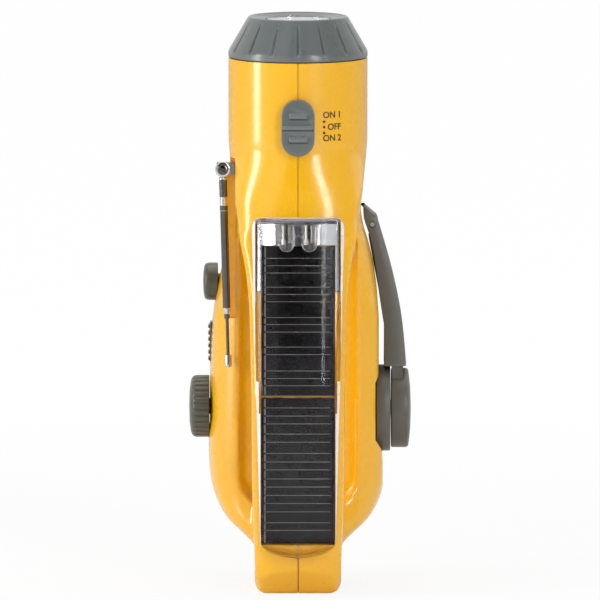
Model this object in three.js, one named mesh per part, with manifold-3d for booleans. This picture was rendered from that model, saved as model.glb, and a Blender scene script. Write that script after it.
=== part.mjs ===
// Hand crank torch with a radio, a closed carrying handle and a solar panel on the handle.
// Millimetres. +Z runs up the torch axis to the lens, +X is the crank side,
// and -Y is the side that the handle and its solar panels face.
// The origin is the middle of the flat foot that the tail stands on.
import * as THREE from 'three'
import { mergeVertices } from 'three/addons/utils/BufferGeometryUtils.js'
import Module from 'manifold-3d'

const wasm = await Module()
wasm.setup()

// Clearances and walls
const gap = 0.3
const overrun = 2
const shellWall = 2.4
const seamGap = 0.3

// Head: a round barrel that narrows to a waist above the handle
const headRadius = 26.1
const waistRadius = 23.7
const waistHeight = 144
const barrelLow = 128
const headTaperTop = 169
const headLength = 31
const headTop = headTaperTop + headLength

// Body: the wide lower housing
const bodyTop = 150
const bodyHalfWidth = 33.8
const bodyFront = 10.5
const bodyBack = 43
const bodyRoundness = 2.9
const bodyTopRoundness = 2
const bodyRoundingHeight = 112
const crankFlankHalfWidth = 32
const crankFlankTopHalfWidth = 30.4

// Finger trough in the front of the body, behind the handle
const troughHalfWidth = 22.2
const troughFloor = 5.8
const troughLow = 27
const troughHigh = 133
const troughCornerRadius = 17

// Handle: two nearly straight stretches that meet at the joint of the two panels
const handleLow = 6
const handleJointHeight = 76.2
const handleJointReach = 38
const handleTopHeight = 142.7
const handleTopReach = 28
const handleBottomHeight = 18
const handleBottomReach = 32.5
const handleLowReach = 31.1
const handleHalfWidth = 17.6
const handleThickness = 12.5
const handleSkin = 5.2
const handleRoundness = 3.1
const handleBlendLength = 25.3
const handleBlendHeight = handleTopHeight + handleBlendLength
const handleBlendReach = 25.8
const handleBlendRoundness = 2

// Tail: the squared end that the torch stands on
const tailHalfWidth = 16.3
const tailTop = 32
const tailFront = 31.5
const tailBack = 24
const tailRoundness = 4.2
const tailFootInset = 3.6
const tailFootRise = 3.7
const tailSlantHeight = 10.5
const tailSlantDepth = 9

// Clear cover over the signal lamps and the solar panels
const coverRise = 5
const coverCrownRadius = 72
const coverCrownHalf = 20
const coverCrownSteps = 8
const coverWall = 1.2
const coverTopHeight = 142.7
const coverBottomHeight = 16.8
const coverTopHalfWidth = 17.2
const coverBottomHalfWidth = 14.1
const coverEndBow = 3.2
const coverCornerRadius = 4.5

// Solar panels and the lamp tray
const panelWidth = 27
const panelThickness = 1.2
const panelJointGap = 0.7
const panelTopHeight = 132.6
const panelBottomHeight = 19.8
const panelSeatDepth = 3.4
const trayRailLength = 17
const trayWall = 0.8
const trayLength = 8.7
const signalLampRadius = 2.6
const signalLampLength = 7.2
const signalLampSpacing = 8.5

// Bezel, lens and reflector
const bezelHeight = 15.2
const bezelLow = headTop + gap
const bezelTop = bezelLow + bezelHeight
const bezelSkirt = 3.2
const bezelLipRadius = 18.6
const bezelLipWidth = 0.8
const bezelSpigotLength = 6.5
const bezelSpigotRadius = 23.6
const bezelSpigotWall = 2.6
const lensRadius = 14.5
const lensThickness = 1.9
const sealThickness = 0.8
const apertureRadius = 12.2
const dishDepth = 0.95
const dishWall = 1.2
const bezelFluteCount = 16
const bezelFluteDepth = 0.9
const bezelFluteWidth = 2.6
const dishRimRadius = 17.3
const dishRimDepth = 0.3
const reflectorDepth = 18
const reflectorThroatRadius = 4.4
const reflectorWall = 1.2
const reflectorFlange = 1.6
const lampRadius = 2.5
const lampLength = 6.4
const lampBoardRadius = 13
const lampBoardDrop = 26
const lampBoardLow = bezelTop - lampBoardDrop
const boardThickness = 1.6

// Light switch: a slide that stands proud of the front of the head
const switchDrop = 23.9
const switchHeight = headTop - switchDrop
const switchWidth = 12.4
const switchLength = 21.3
const switchRise = 2.8
const switchTravel = 2.2
const switchStemWidth = 4
const switchStemLength = 6
const switchBodyWidth = 9
const switchBodyLength = 13.4
const switchBodyDepth = 6
const switchBarRise = 0.7
const switchBarWidth = 6.6
const switchBarHeight = 2.2
const switchBarPitch = 4.4
const switchBodyFace = 22.6

// Controls in a column on the left flank
const controlDepth = 14
const tuningHeight = 66.4
const tuningRadius = 11.7
const tuningThickness = 7.6
const tuningOuterFace = 41.1
const tuningFluteCount = 20
const tuningFluteRadius = 0.8
const volumeHeight = 113.8
const volumeRadius = 7.1
const volumeOuterFace = 35.8
const volumeThickness = 5.6
const knobStemRadius = 3
const capacitorSize = 20
const capacitorWidth = 17
const knobEdgeShare = 0.08
const capacitorFace = 28.3
const potSize = 11
const potFace = 24.2
const bandHeight = 90.8
const bandLength = 15.6
const bandWidth = 6
const bandOuterFace = 33.9
const bandThickness = 2.2
const bandTravel = 3
const bandRibPitch = 2.44
const bandRibCount = 6
const bandRibRadius = 0.7
const bandStemWidth = 2.4
const bandBodyFace = 26
const bandBodyLength = 14
const bandBodyWidth = 7
const boardFace = 17.8
const boardLow = 48
const boardHigh = 124
const boardFront = 2
const boardBack = 22.8

// Telescopic antenna on the left side of the waist
const antennaPivotX = 28.2
const antennaPivotY = 8.6
const antennaPivotZ = 158.6
const antennaLean = THREE.MathUtils.degToRad(1.6)
const antennaEyeRadius = 2.8
const antennaEyeThickness = 3
const antennaPinRadius = 1.1
const antennaTubeRadius = 1.5
const antennaTubeBore = 1.25
const antennaTubeStart = 4
const antennaTubeLength = 50.5
const antennaSleeveRadius = 1.05
const antennaSleeveBore = 0.8
const antennaSleeveShow = 1.8
const antennaSleeveLength = 46
const antennaRodRadius = 0.6
const antennaRodEnd = 70
const antennaRodLength = 57
const antennaTipRadius = 1.3
const antennaTipLength = 4.6
const antennaBracketWidth = 4.6
const antennaBracketHeight = 4.6
const antennaScrewHeadRadius = 2
const antennaScrewHeadRise = 0.8
const antennaChannelX = 23.5
const antennaChannelY = 3
const antennaChannelLow = 102
const antennaChannelHigh = 163

// Crank on the right flank
const crankHeight = 65.8
const crankDepth = 14
const crankDishRadius = 19.4
const crankFlangeRadius = 16.3
const crankFlangeFace = 29.4
const crankFlangeThickness = 5.4
const crankDrumRadius = 15
const crankDrumFace = 35.1
const crankDrumThickness = 6.6
const crankCapRadius = 13.4
const crankCapThickness = 1.1
const crankCapDome = 0.9
const crankArmReach = 77.3
const crankArmRootHalfWidth = 11
const crankArmTipHalfWidth = 6.2
const crankArmRootInner = 32.4
const crankArmRootOuter = 40.7
const crankArmTipInner = 24.6
const crankArmTipOuter = 29.8
const crankArmBevel = 4.2
const crankArmChamfer = 1.1
const crankArmSteps = 12
const crankShaftRadius = 3
const crankShaftInner = 8.9
const crankShaftOuter = 37.2
const crankBushRadius = 5
const crankBushLength = 4.2
const crankBossRadius = 7
const crankScrewRadius = 1.3
const crankScrewHeadRadius = 3.2
const crankScrewHeadHeight = 1.8
const crankScrewLength = 6

// Folding grip near the tip of the crank arm
const gripPivotReach = 70.2
const gripPivotX = 28
const gripLean = THREE.MathUtils.degToRad(12.4)
const gripSlotHalfWidth = 3.7
const gripSlotLow = 39
const gripSlotHigh = 73.6
const gripEyeRadius = 2.4
const gripPinRadius = 0.9
const gripSpindleRadius = 1.1
const gripStart = 3.6
const gripLength = 22
const gripTopRadius = 2.45
const gripEndRadius = 3.1
const gripBore = 1.45
const gripHeadRadius = 2.1
const gripHeadLength = 0.8

// Gear train between the crank and the generator
const gearPressureAngle = THREE.MathUtils.degToRad(25)
const gearBacklash = 0.28
const firstModule = 0.9
const drivenTeeth = 36
const pinionTeeth = 10
const secondModule = 0.8
const transferTeeth = 30
const gearAddendumShare = 0.85
const gearDedendumShare = 1.15
const driveGearInner = 19
const driveGearThickness = 4
const transferGearInner = 13.4
const transferGearThickness = 3
const gearAxleRadius = 1.3
const gearPlateInner = 8.6
const gearPlateThickness = 1.8
const gearPlateHalfWidth = 17
const gearHubRadius = 2.6
const gearPostRadius = 2.6
const gearPostSpread = 15.7
const gearPostMargin = 1.3
const gearboxBossRadius = 3.4
const generatorRadius = 12
const generatorWall = 1.2
const generatorLength = 11
const coilWall = 1.9
const rotorRadius = 7.6
const rotorShaftRadius = 1

// Batteries, loudspeaker and aerial rod
const cellRadius = 5.2
const cellLength = 44.5
const cellLow = 36
const cellTrayThickness = 1.8
const cellContactRadius = 1.8
const cellContactHeight = 1
const cellPitch = 11
const cellInset = 7.6
const cellColumn = 9.2
const speakerHeight = 72
const speakerRadius = 17.2
const speakerDepth = 6
const speakerSetback = 5.2
const speakerMagnetRadius = 8
const grilleRadius = 18.4
const grilleSlotCount = 7
const grilleSlotPitch = 4.2
const grilleSlotWidth = 1.9
const ferriteRadius = 4
const ferriteLength = 36
const ferriteHeight = 133
const ferriteDepth = 14
const ferriteClipLength = 3
const ferriteClipHalfWidth = 4.8
const ferriteClipRise = 0.4

// Housing screws, driven from the left
const screwHeadRadius = 2.6
const screwHeadHeight = 1.8
const screwRadius = 1.3
const screwBossRadius = 4.2
const screwLength = 12
const screwHeadSpot = 7
const neckScrewDepth = 7
const neckScrewHeight = 150
const shoulderScrewDepth = 25.5
const shoulderScrewHeight = 128.4
const lowScrewDepth = 24
const lowScrewHeight = 28.4
const tailScrewDepth = -4
const tailScrewHeight = 16

// Centres of the gear train, worked out from the tooth counts
const firstCentreDistance = firstModule * (drivenTeeth + pinionTeeth) / 2
const secondCentreDistance = secondModule * (transferTeeth + pinionTeeth) / 2
const transferHeight = crankHeight + firstCentreDistance
const rotorHeight = transferHeight + secondCentreDistance
const driveGearRadius = firstModule * (drivenTeeth / 2 + 1)
const gearPlateLow = crankHeight - driveGearRadius - gearPostMargin - 2 * gearPostRadius
const gearPlateHigh = rotorHeight + generatorRadius + gearPostMargin + 2 * gearPostRadius

// Turns a three.js geometry into a solid for joining and cutting.
function solid(geometry) {
  const bare = geometry.index ? geometry.toNonIndexed() : geometry.clone()
  for (const name of Object.keys(bare.attributes)) {
    if (name !== 'position') bare.deleteAttribute(name)
  }
  const merged = mergeVertices(bare)
  const corners = merged.index.array
  const kept = []
  for (let at = 0; at < corners.length; at += 3) {
    const [a, b, c] = [corners[at], corners[at + 1], corners[at + 2]]
    if (a !== b && b !== c && c !== a) kept.push(a, b, c)
  }
  const mesh = new wasm.Mesh({
    numProp: 3,
    vertProperties: new Float32Array(merged.attributes.position.array),
    triVerts: new Uint32Array(kept)
  })
  return new wasm.Manifold(mesh)
}

function geometryOf(shape) {
  const mesh = shape.getMesh()
  const geometry = new THREE.BufferGeometry()
  geometry.setAttribute('position', new THREE.BufferAttribute(new Float32Array(mesh.vertProperties), 3))
  geometry.setIndex(new THREE.BufferAttribute(new Uint32Array(mesh.triVerts), 1))
  geometry.computeVertexNormals()
  return geometry
}

function join(first, ...others) {
  return others.reduce((whole, piece) => whole.add(piece), first)
}

function cut(base, ...cutters) {
  return cutters.reduce((rest, cutter) => rest.subtract(cutter), base)
}

// A box between two corners.
function block(low, high) {
  const size = [0, 1, 2].map((axis) => high[axis] - low[axis])
  const middle = [0, 1, 2].map((axis) => (high[axis] + low[axis]) / 2)
  const geometry = new THREE.BoxGeometry(...size)
  geometry.translate(...middle)
  return solid(geometry)
}

// A round bar along X, Y or Z between two places on that axis.
function bar(axis, radius, from, to, first, second, sides = 20, endRadius = radius) {
  const geometry = new THREE.CylinderGeometry(endRadius, radius, to - from, sides)
  const middle = (from + to) / 2
  if (axis === 'x') {
    geometry.rotateZ(-Math.PI / 2)
    geometry.translate(middle, first, second)
  }
  if (axis === 'y') geometry.translate(first, middle, second)
  if (axis === 'z') {
    geometry.rotateX(Math.PI / 2)
    geometry.translate(first, second, middle)
  }
  return solid(geometry)
}

// A solid of revolution about Z or X from [radius, place] points that run up the outside.
function turned(points, sides = 32, axis = 'z') {
  const geometry = new THREE.LatheGeometry(points.map((point) => new THREE.Vector2(...point)), sides)
  if (axis === 'z') geometry.rotateX(Math.PI / 2)
  if (axis === 'x') geometry.rotateZ(-Math.PI / 2)
  return solid(geometry)
}

// An outline of [across, up] points or a Shape, made solid from one depth to another.
function slabGeometry(outline, depth, curveSegments) {
  const shape = outline instanceof THREE.Shape ? outline : new THREE.Shape(
    outline.map((point) => new THREE.Vector2(...point)))
  return new THREE.ExtrudeGeometry(shape, { depth, bevelEnabled: false, curveSegments })
}

// The outline lies in X and Z.
function slabAcrossY(outline, from, to, curveSegments = 8) {
  const geometry = slabGeometry(outline, to - from, curveSegments)
  geometry.rotateX(Math.PI / 2)
  geometry.translate(0, to, 0)
  return solid(geometry)
}

// The outline lies in Y and Z.
function slabAcrossX(outline, from, to, curveSegments = 8) {
  const geometry = slabGeometry(outline, to - from, curveSegments)
  const [alongY, alongZ, alongX] = [[0, 1, 0], [0, 0, 1], [1, 0, 0]].map((axis) => new THREE.Vector3(...axis))
  geometry.applyMatrix4(new THREE.Matrix4().makeBasis(alongY, alongZ, alongX))
  geometry.translate(from, 0, 0)
  return solid(geometry)
}

// Goes from one value to another between two heights, with a soft start and end.
function blend(first, second, height, from, to) {
  return THREE.MathUtils.lerp(first, second, THREE.MathUtils.smoothstep(height, from, to))
}

// A smooth value read from a table of [height share, value share] rows.
function shareAt(table, height) {
  const last = table.length - 1
  let row = 0
  while (row < last - 1 && height > table[row + 1][0]) row += 1
  const before = table[Math.max(row - 1, 0)]
  const [start, end] = [table[row], table[row + 1]]
  const after = table[Math.min(row + 2, last)]
  const span = end[0] - start[0]
  const t = THREE.MathUtils.clamp((height - start[0]) / span, 0, 1)
  const slopeIn = (end[1] - before[1]) / (end[0] - before[0]) * span
  const slopeOut = (after[1] - start[1]) / (after[0] - start[0]) * span
  const [square, cube] = [t * t, t * t * t]
  return (2 * cube - 3 * square + 1) * start[1] + (cube - 2 * square + t) * slopeIn
    + (3 * square - 2 * cube) * end[1] + (cube - square) * slopeOut
}

// One rounded section at a height: a superellipse between a front and a back.
function sectionRing(section, sides) {
  const ring = []
  const middle = (section.back + section.front) / 2
  const halfDepth = (section.back - section.front) / 2
  for (let step = 0; step < sides; step += 1) {
    const angle = 2 * Math.PI * step / sides
    const [across, along] = [Math.cos(angle), Math.sin(angle)]
    const power = 2 / section.roundness
    const x = section.halfWidth * Math.sign(across) * Math.abs(across) ** power
    const y = halfDepth * Math.sign(along) * Math.abs(along) ** power
    ring.push(new THREE.Vector3(x, middle + y, section.height))
  }
  return ring
}

// A closed solid through rings of equal counts, from the lowest up.
function loft(rings) {
  const sides = rings[0].length
  const positions = []
  const indices = []
  for (const ring of rings) {
    for (const point of ring) positions.push(point.x, point.y, point.z)
  }
  for (let level = 0; level < rings.length - 1; level += 1) {
    for (let step = 0; step < sides; step += 1) {
      const next = (step + 1) % sides
      const [low, high] = [level * sides, (level + 1) * sides]
      indices.push(low + step, low + next, high + next)
      indices.push(low + step, high + next, high + step)
    }
  }
  for (const [ring, flip] of [[rings[0], true], [rings[rings.length - 1], false]]) {
    const base = flip ? 0 : (rings.length - 1) * sides
    for (let step = 1; step < sides - 1; step += 1) {
      const pair = flip ? [base + step + 1, base + step] : [base + step, base + step + 1]
      indices.push(base, ...pair)
    }
  }
  const geometry = new THREE.BufferGeometry()
  geometry.setAttribute('position', new THREE.Float32BufferAttribute(positions, 3))
  geometry.setIndex(indices)
  return solid(geometry)
}

// Body outline, as shares of the body's top height, half width and depths
const bodyWidthShares = [
  [0.080, 0.42], [0.104, 0.482], [0.138, 0.64], [0.168, 0.79], [0.211, 0.905], [0.258, 0.97],
  [0.311, 0.995], [0.378, 1], [0.545, 0.982], [0.671, 0.952], [0.768, 0.878], [0.858, 0.792],
  [0.915, 0.722], [1, 0.67]
]
const bodyFrontShares = [
  [0.080, 1.9], [0.160, 1.35], [0.233, 1.02], [0.400, 1], [0.733, 1], [0.820, 1.25],
  [0.880, 1.72], [0.933, 2.14], [1, 2.2]
]
const bodyBackShares = [
  [0.080, 0.52], [0.160, 0.70], [0.233, 0.84], [0.333, 0.952], [0.467, 1], [0.600, 0.976],
  [0.733, 0.87], [0.833, 0.742], [0.933, 0.58], [1, 0.53]
]

function bodySolid(inset, levels, sides) {
  const rings = []
  const lowShare = bodyWidthShares[0][0]
  for (let level = 0; level <= levels; level += 1) {
    const share = lowShare + (1 - lowShare) * level / levels
    rings.push(sectionRing({
      height: bodyTop * share,
      halfWidth: bodyHalfWidth * shareAt(bodyWidthShares, share) - inset,
      front: inset - bodyFront * shareAt(bodyFrontShares, share),
      back: bodyBack * shareAt(bodyBackShares, share) - inset,
      roundness: blend(bodyRoundness, bodyTopRoundness, bodyTop * share, bodyRoundingHeight, bodyTop)
    }, sides))
  }
  return loft(rings)
}

// How far the handle's front stands from the torch axis at a height.
function handleReachAt(height) {
  const rows = [
    [handleLow, handleLowReach],
    [handleBottomHeight, handleBottomReach],
    [handleJointHeight, handleJointReach],
    [handleTopHeight, handleTopReach],
    [handleBlendHeight, handleBlendReach]
  ]
  let row = 0
  while (row < rows.length - 2 && height > rows[row + 1][0]) row += 1
  return THREE.MathUtils.mapLinear(height, rows[row][0], rows[row + 1][0], rows[row][1], rows[row + 1][1])
}

// Handle width as shares of its mid half width, at shares of the body's top height.
// Above the body the section swells into the round of the head.
const handleWidthShares = [
  [0.040, 0.926], [0.120, 0.935], [0.207, 0.972], [0.502, 1], [0.702, 1.034], [0.782, 1.085],
  [0.835, 1.148], [0.888, 1.244], [0.945, 1.305], [1.01, 1.385], [1.065, 1.43], [1.12, 1.466]
]

function handleSolid(grow, levels, sides) {
  const rings = []
  const joints = [handleLow, handleBottomHeight, handleJointHeight, handleTopHeight, bodyTop,
    handleBlendHeight]
  const heights = new Set(joints)
  for (let level = 1; level < levels; level += 1) {
    heights.add(THREE.MathUtils.lerp(handleLow, handleBlendHeight, level / levels))
  }
  for (const height of [...heights].sort((a, b) => a - b)) {
    const reach = handleReachAt(height)
    rings.push(sectionRing({
      height,
      halfWidth: handleHalfWidth * shareAt(handleWidthShares, height / bodyTop) + grow,
      front: -reach - grow,
      back: blend(handleThickness - reach, handleBlendReach, height, handleTopHeight,
        handleBlendHeight) + grow,
      roundness: blend(handleRoundness, handleBlendRoundness, height, handleTopHeight, handleBlendHeight)
    }, sides))
  }
  return loft(rings)
}

function handleHollow(levels, sides) {
  const rings = []
  for (let level = 0; level <= levels; level += 1) {
    const height = THREE.MathUtils.lerp(handleBottomHeight, waistHeight, level / levels)
    const reach = handleReachAt(height)
    rings.push(sectionRing({
      height,
      halfWidth: handleHalfWidth - shellWall,
      front: handleSkin - reach,
      back: handleThickness - shellWall - reach,
      roundness: handleRoundness
    }, sides))
  }
  return loft(rings)
}

function tailSolid(inset, sides) {
  const rows = [
    [inset, tailFootInset],
    [Math.max(tailFootRise / 3, inset + gap), tailFootInset / 3],
    [Math.max(tailFootRise, inset + 2 * gap), 0],
    [tailTop, 0]
  ]
  const rings = rows.map(([height, tuck]) => sectionRing({
    height,
    halfWidth: tailHalfWidth - tuck - inset,
    front: inset - tailFront + tuck / 2,
    back: tailBack - tuck / 2 - inset,
    roundness: tailRoundness
  }, sides))
  const slant = slabAcrossX([
    [-tailFront - overrun, -overrun],
    [tailSlantDepth - tailFront + inset, -overrun],
    [tailSlantDepth - tailFront + inset, 0],
    [inset - tailFront - overrun, tailSlantHeight + overrun + inset]
  ], -bodyHalfWidth, bodyHalfWidth)
  return cut(loft(rings), slant)
}

// Barrel profile as [radius share, height share]: from its low end to the waist, and from there to the head
const waistShares = [[0, 0], [0.6, 0.15], [0.88, 0.5], [1, 1]]
const headTaperShares = [[0.3, 0.35], [0.75, 0.7], [1, 1]]

function barrelSolid(inset, sides) {
  const { lerp } = THREE.MathUtils
  const [waist, head, top] = [waistRadius - inset, headRadius - inset, headTop + (inset > 0 ? overrun : 0)]
  return turned([
    ...waistShares.map(([radius, height]) => [waist * radius, lerp(barrelLow, waistHeight, height) + inset]),
    ...headTaperShares.map(
      ([radius, height]) => [lerp(waist, head, radius), lerp(waistHeight, headTaperTop, height)]),
    [head, top],
    [0, top]
  ], sides)
}

// The housing: body, handle, tail and head barrel joined, then hollowed and split.

function troughCutter(grow) {
  const [side, low, high] = [troughHalfWidth + grow, troughLow - grow, troughHigh + grow]
  const curve = troughCornerRadius
  const outline = new THREE.Shape()
  outline.moveTo(curve - side, low)
  outline.quadraticCurveTo(-side, low + curve / 3, -side, low + curve)
  outline.lineTo(-side, high)
  outline.lineTo(side, high)
  outline.lineTo(side, low + curve)
  outline.quadraticCurveTo(side, low + curve / 3, side - curve, low)
  return slabAcrossY(outline, -bodyBack, grow - troughFloor, 6)
}

// Arm edges from the hub to the tip: [reach share, share of the way from root to tip]
const armInnerShares = [
  [0.222, 0], [0.41, 0], [0.463, 0.075], [0.593, 0.27], [0.724, 0.44], [0.85, 0.69], [0.94, 0.975], [1, 1]
]
const armOuterShares = [[0.222, 0], [0.37, 0.09], [0.506, 0.22], [0.704, 0.53], [0.94, 1], [1, 1.05]]
const flankClearance = 2 * gap
// How much of the arm's root width its block in the hub takes, and where the hub cap's dome bends
const [armRootBlockShare, capBendShare, capBendRiseShare] = [0.8, 0.6, 0.7]

// Takes the crank flank back so that the crank arm clears it all the way round.
function crankFlankCutter(inset) {
  const [wide, narrow, far] = [crankFlankHalfWidth - inset, crankFlankTopHalfWidth - inset,
    bodyHalfWidth + overrun]
  const edge = armInnerShares.map(([reach, way]) => [
    Math.min(narrow, THREE.MathUtils.lerp(crankArmRootInner, crankArmTipInner, way) - flankClearance - inset),
    crankHeight + reach * crankArmReach
  ])
  return slabAcrossY([
    [wide, -overrun], [far, -overrun], [far, edge[edge.length - 1][1]], ...edge.reverse(),
    [narrow, crankHeight], [wide, crankHeight - crankDishRadius]
  ], -bodyBack, bodyBack + overrun)
}

// How finely the curved skins are divided
const [bodyLevels, bodySides, handleLevels, handleSides, innerLevels, innerSides] = [11, 24, 7, 18, 7, 16]

// A round seat sunk into a flank: side is 1 on the crank flank and -1 on the control flank.
function flankSeat(side, radius, height, face, grow = 0) {
  const [near, far] = [face - grow, bodyHalfWidth + overrun]
  const [from, to] = side > 0 ? [near, far] : [-far, -near]
  return bar('x', radius + grow, from, to, controlDepth, height, 32)
}

function bandSeat(grow) {
  const [halfLength, halfWidth] = [bandLength / 2 + gap + grow, bandWidth / 2 + gap + grow]
  return block(
    [-bodyHalfWidth - overrun, controlDepth - halfWidth, bandHeight - halfLength],
    [bandThickness + gap - bandOuterFace + grow, controlDepth + halfWidth,
      bandHeight + halfLength + bandTravel]
  )
}

function antennaChannel(grow) {
  return block(
    [-bodyHalfWidth - overrun, -handleJointReach, antennaChannelLow - grow],
    [grow - antennaChannelX, grow - antennaChannelY, antennaChannelHigh + grow]
  )
}

function seats(grow) {
  return join(
    crankFlankCutter(grow),
    flankSeat(1, crankDishRadius, crankHeight, crankFlangeFace - gap, grow),
    flankSeat(-1, tuningRadius + gap, tuningHeight, tuningOuterFace - tuningThickness - gap, grow),
    flankSeat(-1, volumeRadius + gap, volumeHeight, volumeOuterFace - volumeThickness - gap, grow),
    bandSeat(grow),
    antennaChannel(grow),
    troughCutter(grow)
  )
}

const farAway = bezelTop
const barrel = barrelSolid(0, 32)
const handle = cut(handleSolid(0, handleLevels, handleSides), antennaChannel(0))
const bodyBlank = cut(bodySolid(0, bodyLevels, bodySides), seats(0))
const barrelBlank = cut(barrel, antennaChannel(0))
const housingOuter = join(bodyBlank, barrelBlank, handle, tailSolid(0, 24))
const bodyInner = cut(bodySolid(shellWall, innerLevels, innerSides), seats(shellWall))
const barrelInner = cut(barrelSolid(shellWall, 24), antennaChannel(shellWall))
const housingInner = join(bodyInner, barrelInner, handleHollow(4, 12), tailSolid(shellWall, 16))

// Where the two panel stretches of the handle lie: local Z runs up the stretch, -Y faces out.
function stretchMatrix(height, reach) {
  const angle = Math.atan2(handleJointReach - reach, Math.abs(height - handleJointHeight))
  const lean = height > handleJointHeight ? -angle : angle
  const turn = new THREE.Matrix4().makeRotationX(lean)
  return turn.setPosition(0, -handleJointReach, handleJointHeight)
}

const upperStretch = stretchMatrix(handleTopHeight, handleTopReach)
const lowerStretch = stretchMatrix(handleBottomHeight, handleBottomReach)

function onStretch(matrix, low, high) {
  const size = [0, 1, 2].map((axis) => high[axis] - low[axis])
  const middle = [0, 1, 2].map((axis) => (high[axis] + low[axis]) / 2)
  const geometry = new THREE.BoxGeometry(...size)
  geometry.translate(...middle)
  geometry.applyMatrix4(matrix)
  return solid(geometry)
}

// Lengths along the stretches
const panelHalf = panelWidth / 2
const upperPanelLength = panelTopHeight - handleJointHeight
const lowerPanelLength = handleJointHeight - panelBottomHeight
const trayStart = upperPanelLength + gap
const trayEnd = trayStart + trayLength
const trayHalf = coverTopHalfWidth - coverWall - 3 * gap

const panelSeats = join(
  onStretch(upperStretch, [-panelHalf - gap, -coverRise * 2, -overrun],
    [panelHalf + gap, panelSeatDepth, trayStart]),
  onStretch(lowerStretch, [-panelHalf - gap, -coverRise * 2, -lowerPanelLength - gap],
    [panelHalf + gap, panelSeatDepth, overrun]),
  onStretch(upperStretch, [-trayHalf - gap, -coverRise * 2, trayStart - trayRailLength - gap],
    [trayHalf + gap, panelSeatDepth, trayEnd + gap])
)

const grilleHole = bar('y', grilleRadius + gap, bodyBack / 2, bodyBack + overrun, 0, speakerHeight, 28)
const housingSkin = cut(housingOuter, housingInner)

// Bosses and posts that stand in from the flanks
const gearPostSpots = [
  [crankDepth - gearPostSpread, transferHeight + 2 * gearAxleRadius],
  [crankDepth + gearPostSpread, transferHeight + 2 * gearAxleRadius],
  [crankDepth, gearPlateLow + gearPostRadius],
  [crankDepth, gearPlateHigh - gearPostRadius]
]
const postFace = gearPlateInner + gearPlateThickness + gap

function gearboxPosts() {
  const posts = gearPostSpots.map(([y, z]) => bar('x', gearPostRadius, postFace, bodyHalfWidth, y, z, 12))
  const crankBoss = bar('x', crankBossRadius,
    crankFlangeFace - gap - crankBushLength - shellWall / 2, bodyHalfWidth,
    crankDepth, crankHeight, 24)
  const axleBoss = bar('x', gearboxBossRadius, driveGearInner + driveGearThickness + 2 * gap, bodyHalfWidth,
    crankDepth, transferHeight, 16)
  return join(crankBoss, axleBoss, ...posts)
}

const screwSpots = [
  [screwHeadSpot, neckScrewDepth, neckScrewHeight],
  [screwHeadSpot, shoulderScrewDepth, shoulderScrewHeight],
  [screwHeadSpot, lowScrewDepth, lowScrewHeight],
  [screwHeadSpot, tailScrewDepth, tailScrewHeight]
]

function screwBosses() {
  return join(...screwSpots.map(
    ([, y, z]) => bar('x', screwBossRadius, -bodyHalfWidth, bodyHalfWidth, y, z, 12)))
}

function screwHoles() {
  return join(...screwSpots.map(([head, y, z]) => join(
    bar('x', screwHeadRadius + gap, -bodyHalfWidth - overrun, -head, y, z, 12),
    bar('x', screwRadius + gap, -head - overrun, screwLength + gap - head, y, z, 8)
  )))
}

const lampLedge = cut(
  bar('z', headRadius - shellWall / 2, lampBoardLow - gap - shellWall, lampBoardLow - gap, 0, 0, 36),
  bar('z', lampBoardRadius - shellWall, lampBoardLow - 3 * shellWall, lampBoardLow + overrun, 0, 0, 24)
)
const innerParts = join(gearboxPosts(), screwBosses(), lampLedge).intersect(housingOuter)

// Stadium outline of the light switch
function switchShape(grow) {
  const shape = new THREE.Shape()
  const [radius, half] = [switchWidth / 2 + grow, (switchLength - switchWidth) / 2]
  shape.absarc(0, half, radius, 0, Math.PI)
  shape.absarc(0, -half, radius, Math.PI, 2 * Math.PI)
  return shape
}

// The light switch rides over the barrel, so whatever stands prouder than the barrel there is taken off
const switchSeat = cut(
  slabAcrossY(switchShape(switchTravel), -farAway, -headRadius / 2, 8),
  bar('z', headRadius + gap / 2, -switchLength, switchLength, 0, 0, 64)
).translate([0, 0, switchHeight])
const switchSlot = block(
  [-switchStemWidth / 2 - gap, -headRadius - overrun,
    switchHeight - switchStemLength / 2 - switchTravel - gap],
  [switchStemWidth / 2 + gap, shellWall * 2 - headRadius,
    switchHeight + switchStemLength / 2 + switchTravel + gap]
)
const bandSlot = block(
  [-bodyHalfWidth, controlDepth - bandStemWidth / 2 - gap, bandHeight - bandStemWidth - gap],
  [shellWall * 3 - bodyHalfWidth, controlDepth + bandStemWidth / 2 + gap,
    bandHeight + bandStemWidth + bandTravel + gap]
)
const knobHoles = join(...[tuningHeight, volumeHeight].map((height) =>
  bar('x', knobStemRadius + gap, -bodyHalfWidth, -bodyHalfWidth / 2, controlDepth, height, 16)))
const crankHole = join(
  bar('x', crankShaftRadius + gap, crankFlangeFace - shellWall, bodyHalfWidth, crankDepth, crankHeight, 24),
  bar('x', crankBushRadius + gap, driveGearInner, crankFlangeFace - gap - shellWall / 2, crankDepth,
    crankHeight, 24)
)
const axleHole = bar('x', gearAxleRadius + gap, driveGearInner, crankFlangeFace - shellWall, crankDepth,
  transferHeight, 16)
const housingWhole = cut(join(housingSkin, innerParts),
  panelSeats, grilleHole, screwHoles(), switchSeat, switchSlot, bandSlot, knobHoles, crankHole, axleHole)
const leftHousing = cut(housingWhole,
  block([-seamGap / 2, -farAway, -farAway], [farAway, farAway, 2 * farAway]))
const rightHousing = cut(housingWhole,
  block([-farAway, -farAway, -farAway], [seamGap / 2, farAway, 2 * farAway]))

// The tree of pieces
const torch = new THREE.Group()
torch.position.x = (tuningOuterFace - crankDrumFace - crankDrumThickness - crankCapDome) / 2

function add(parent, name, shape, color, roughness, metalness = 0) {
  const material = new THREE.MeshStandardMaterial({ color, roughness, metalness })
  const mesh = new THREE.Mesh(geometryOf(shape), material)
  mesh.name = name
  parent.add(mesh)
  return mesh
}

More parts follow.
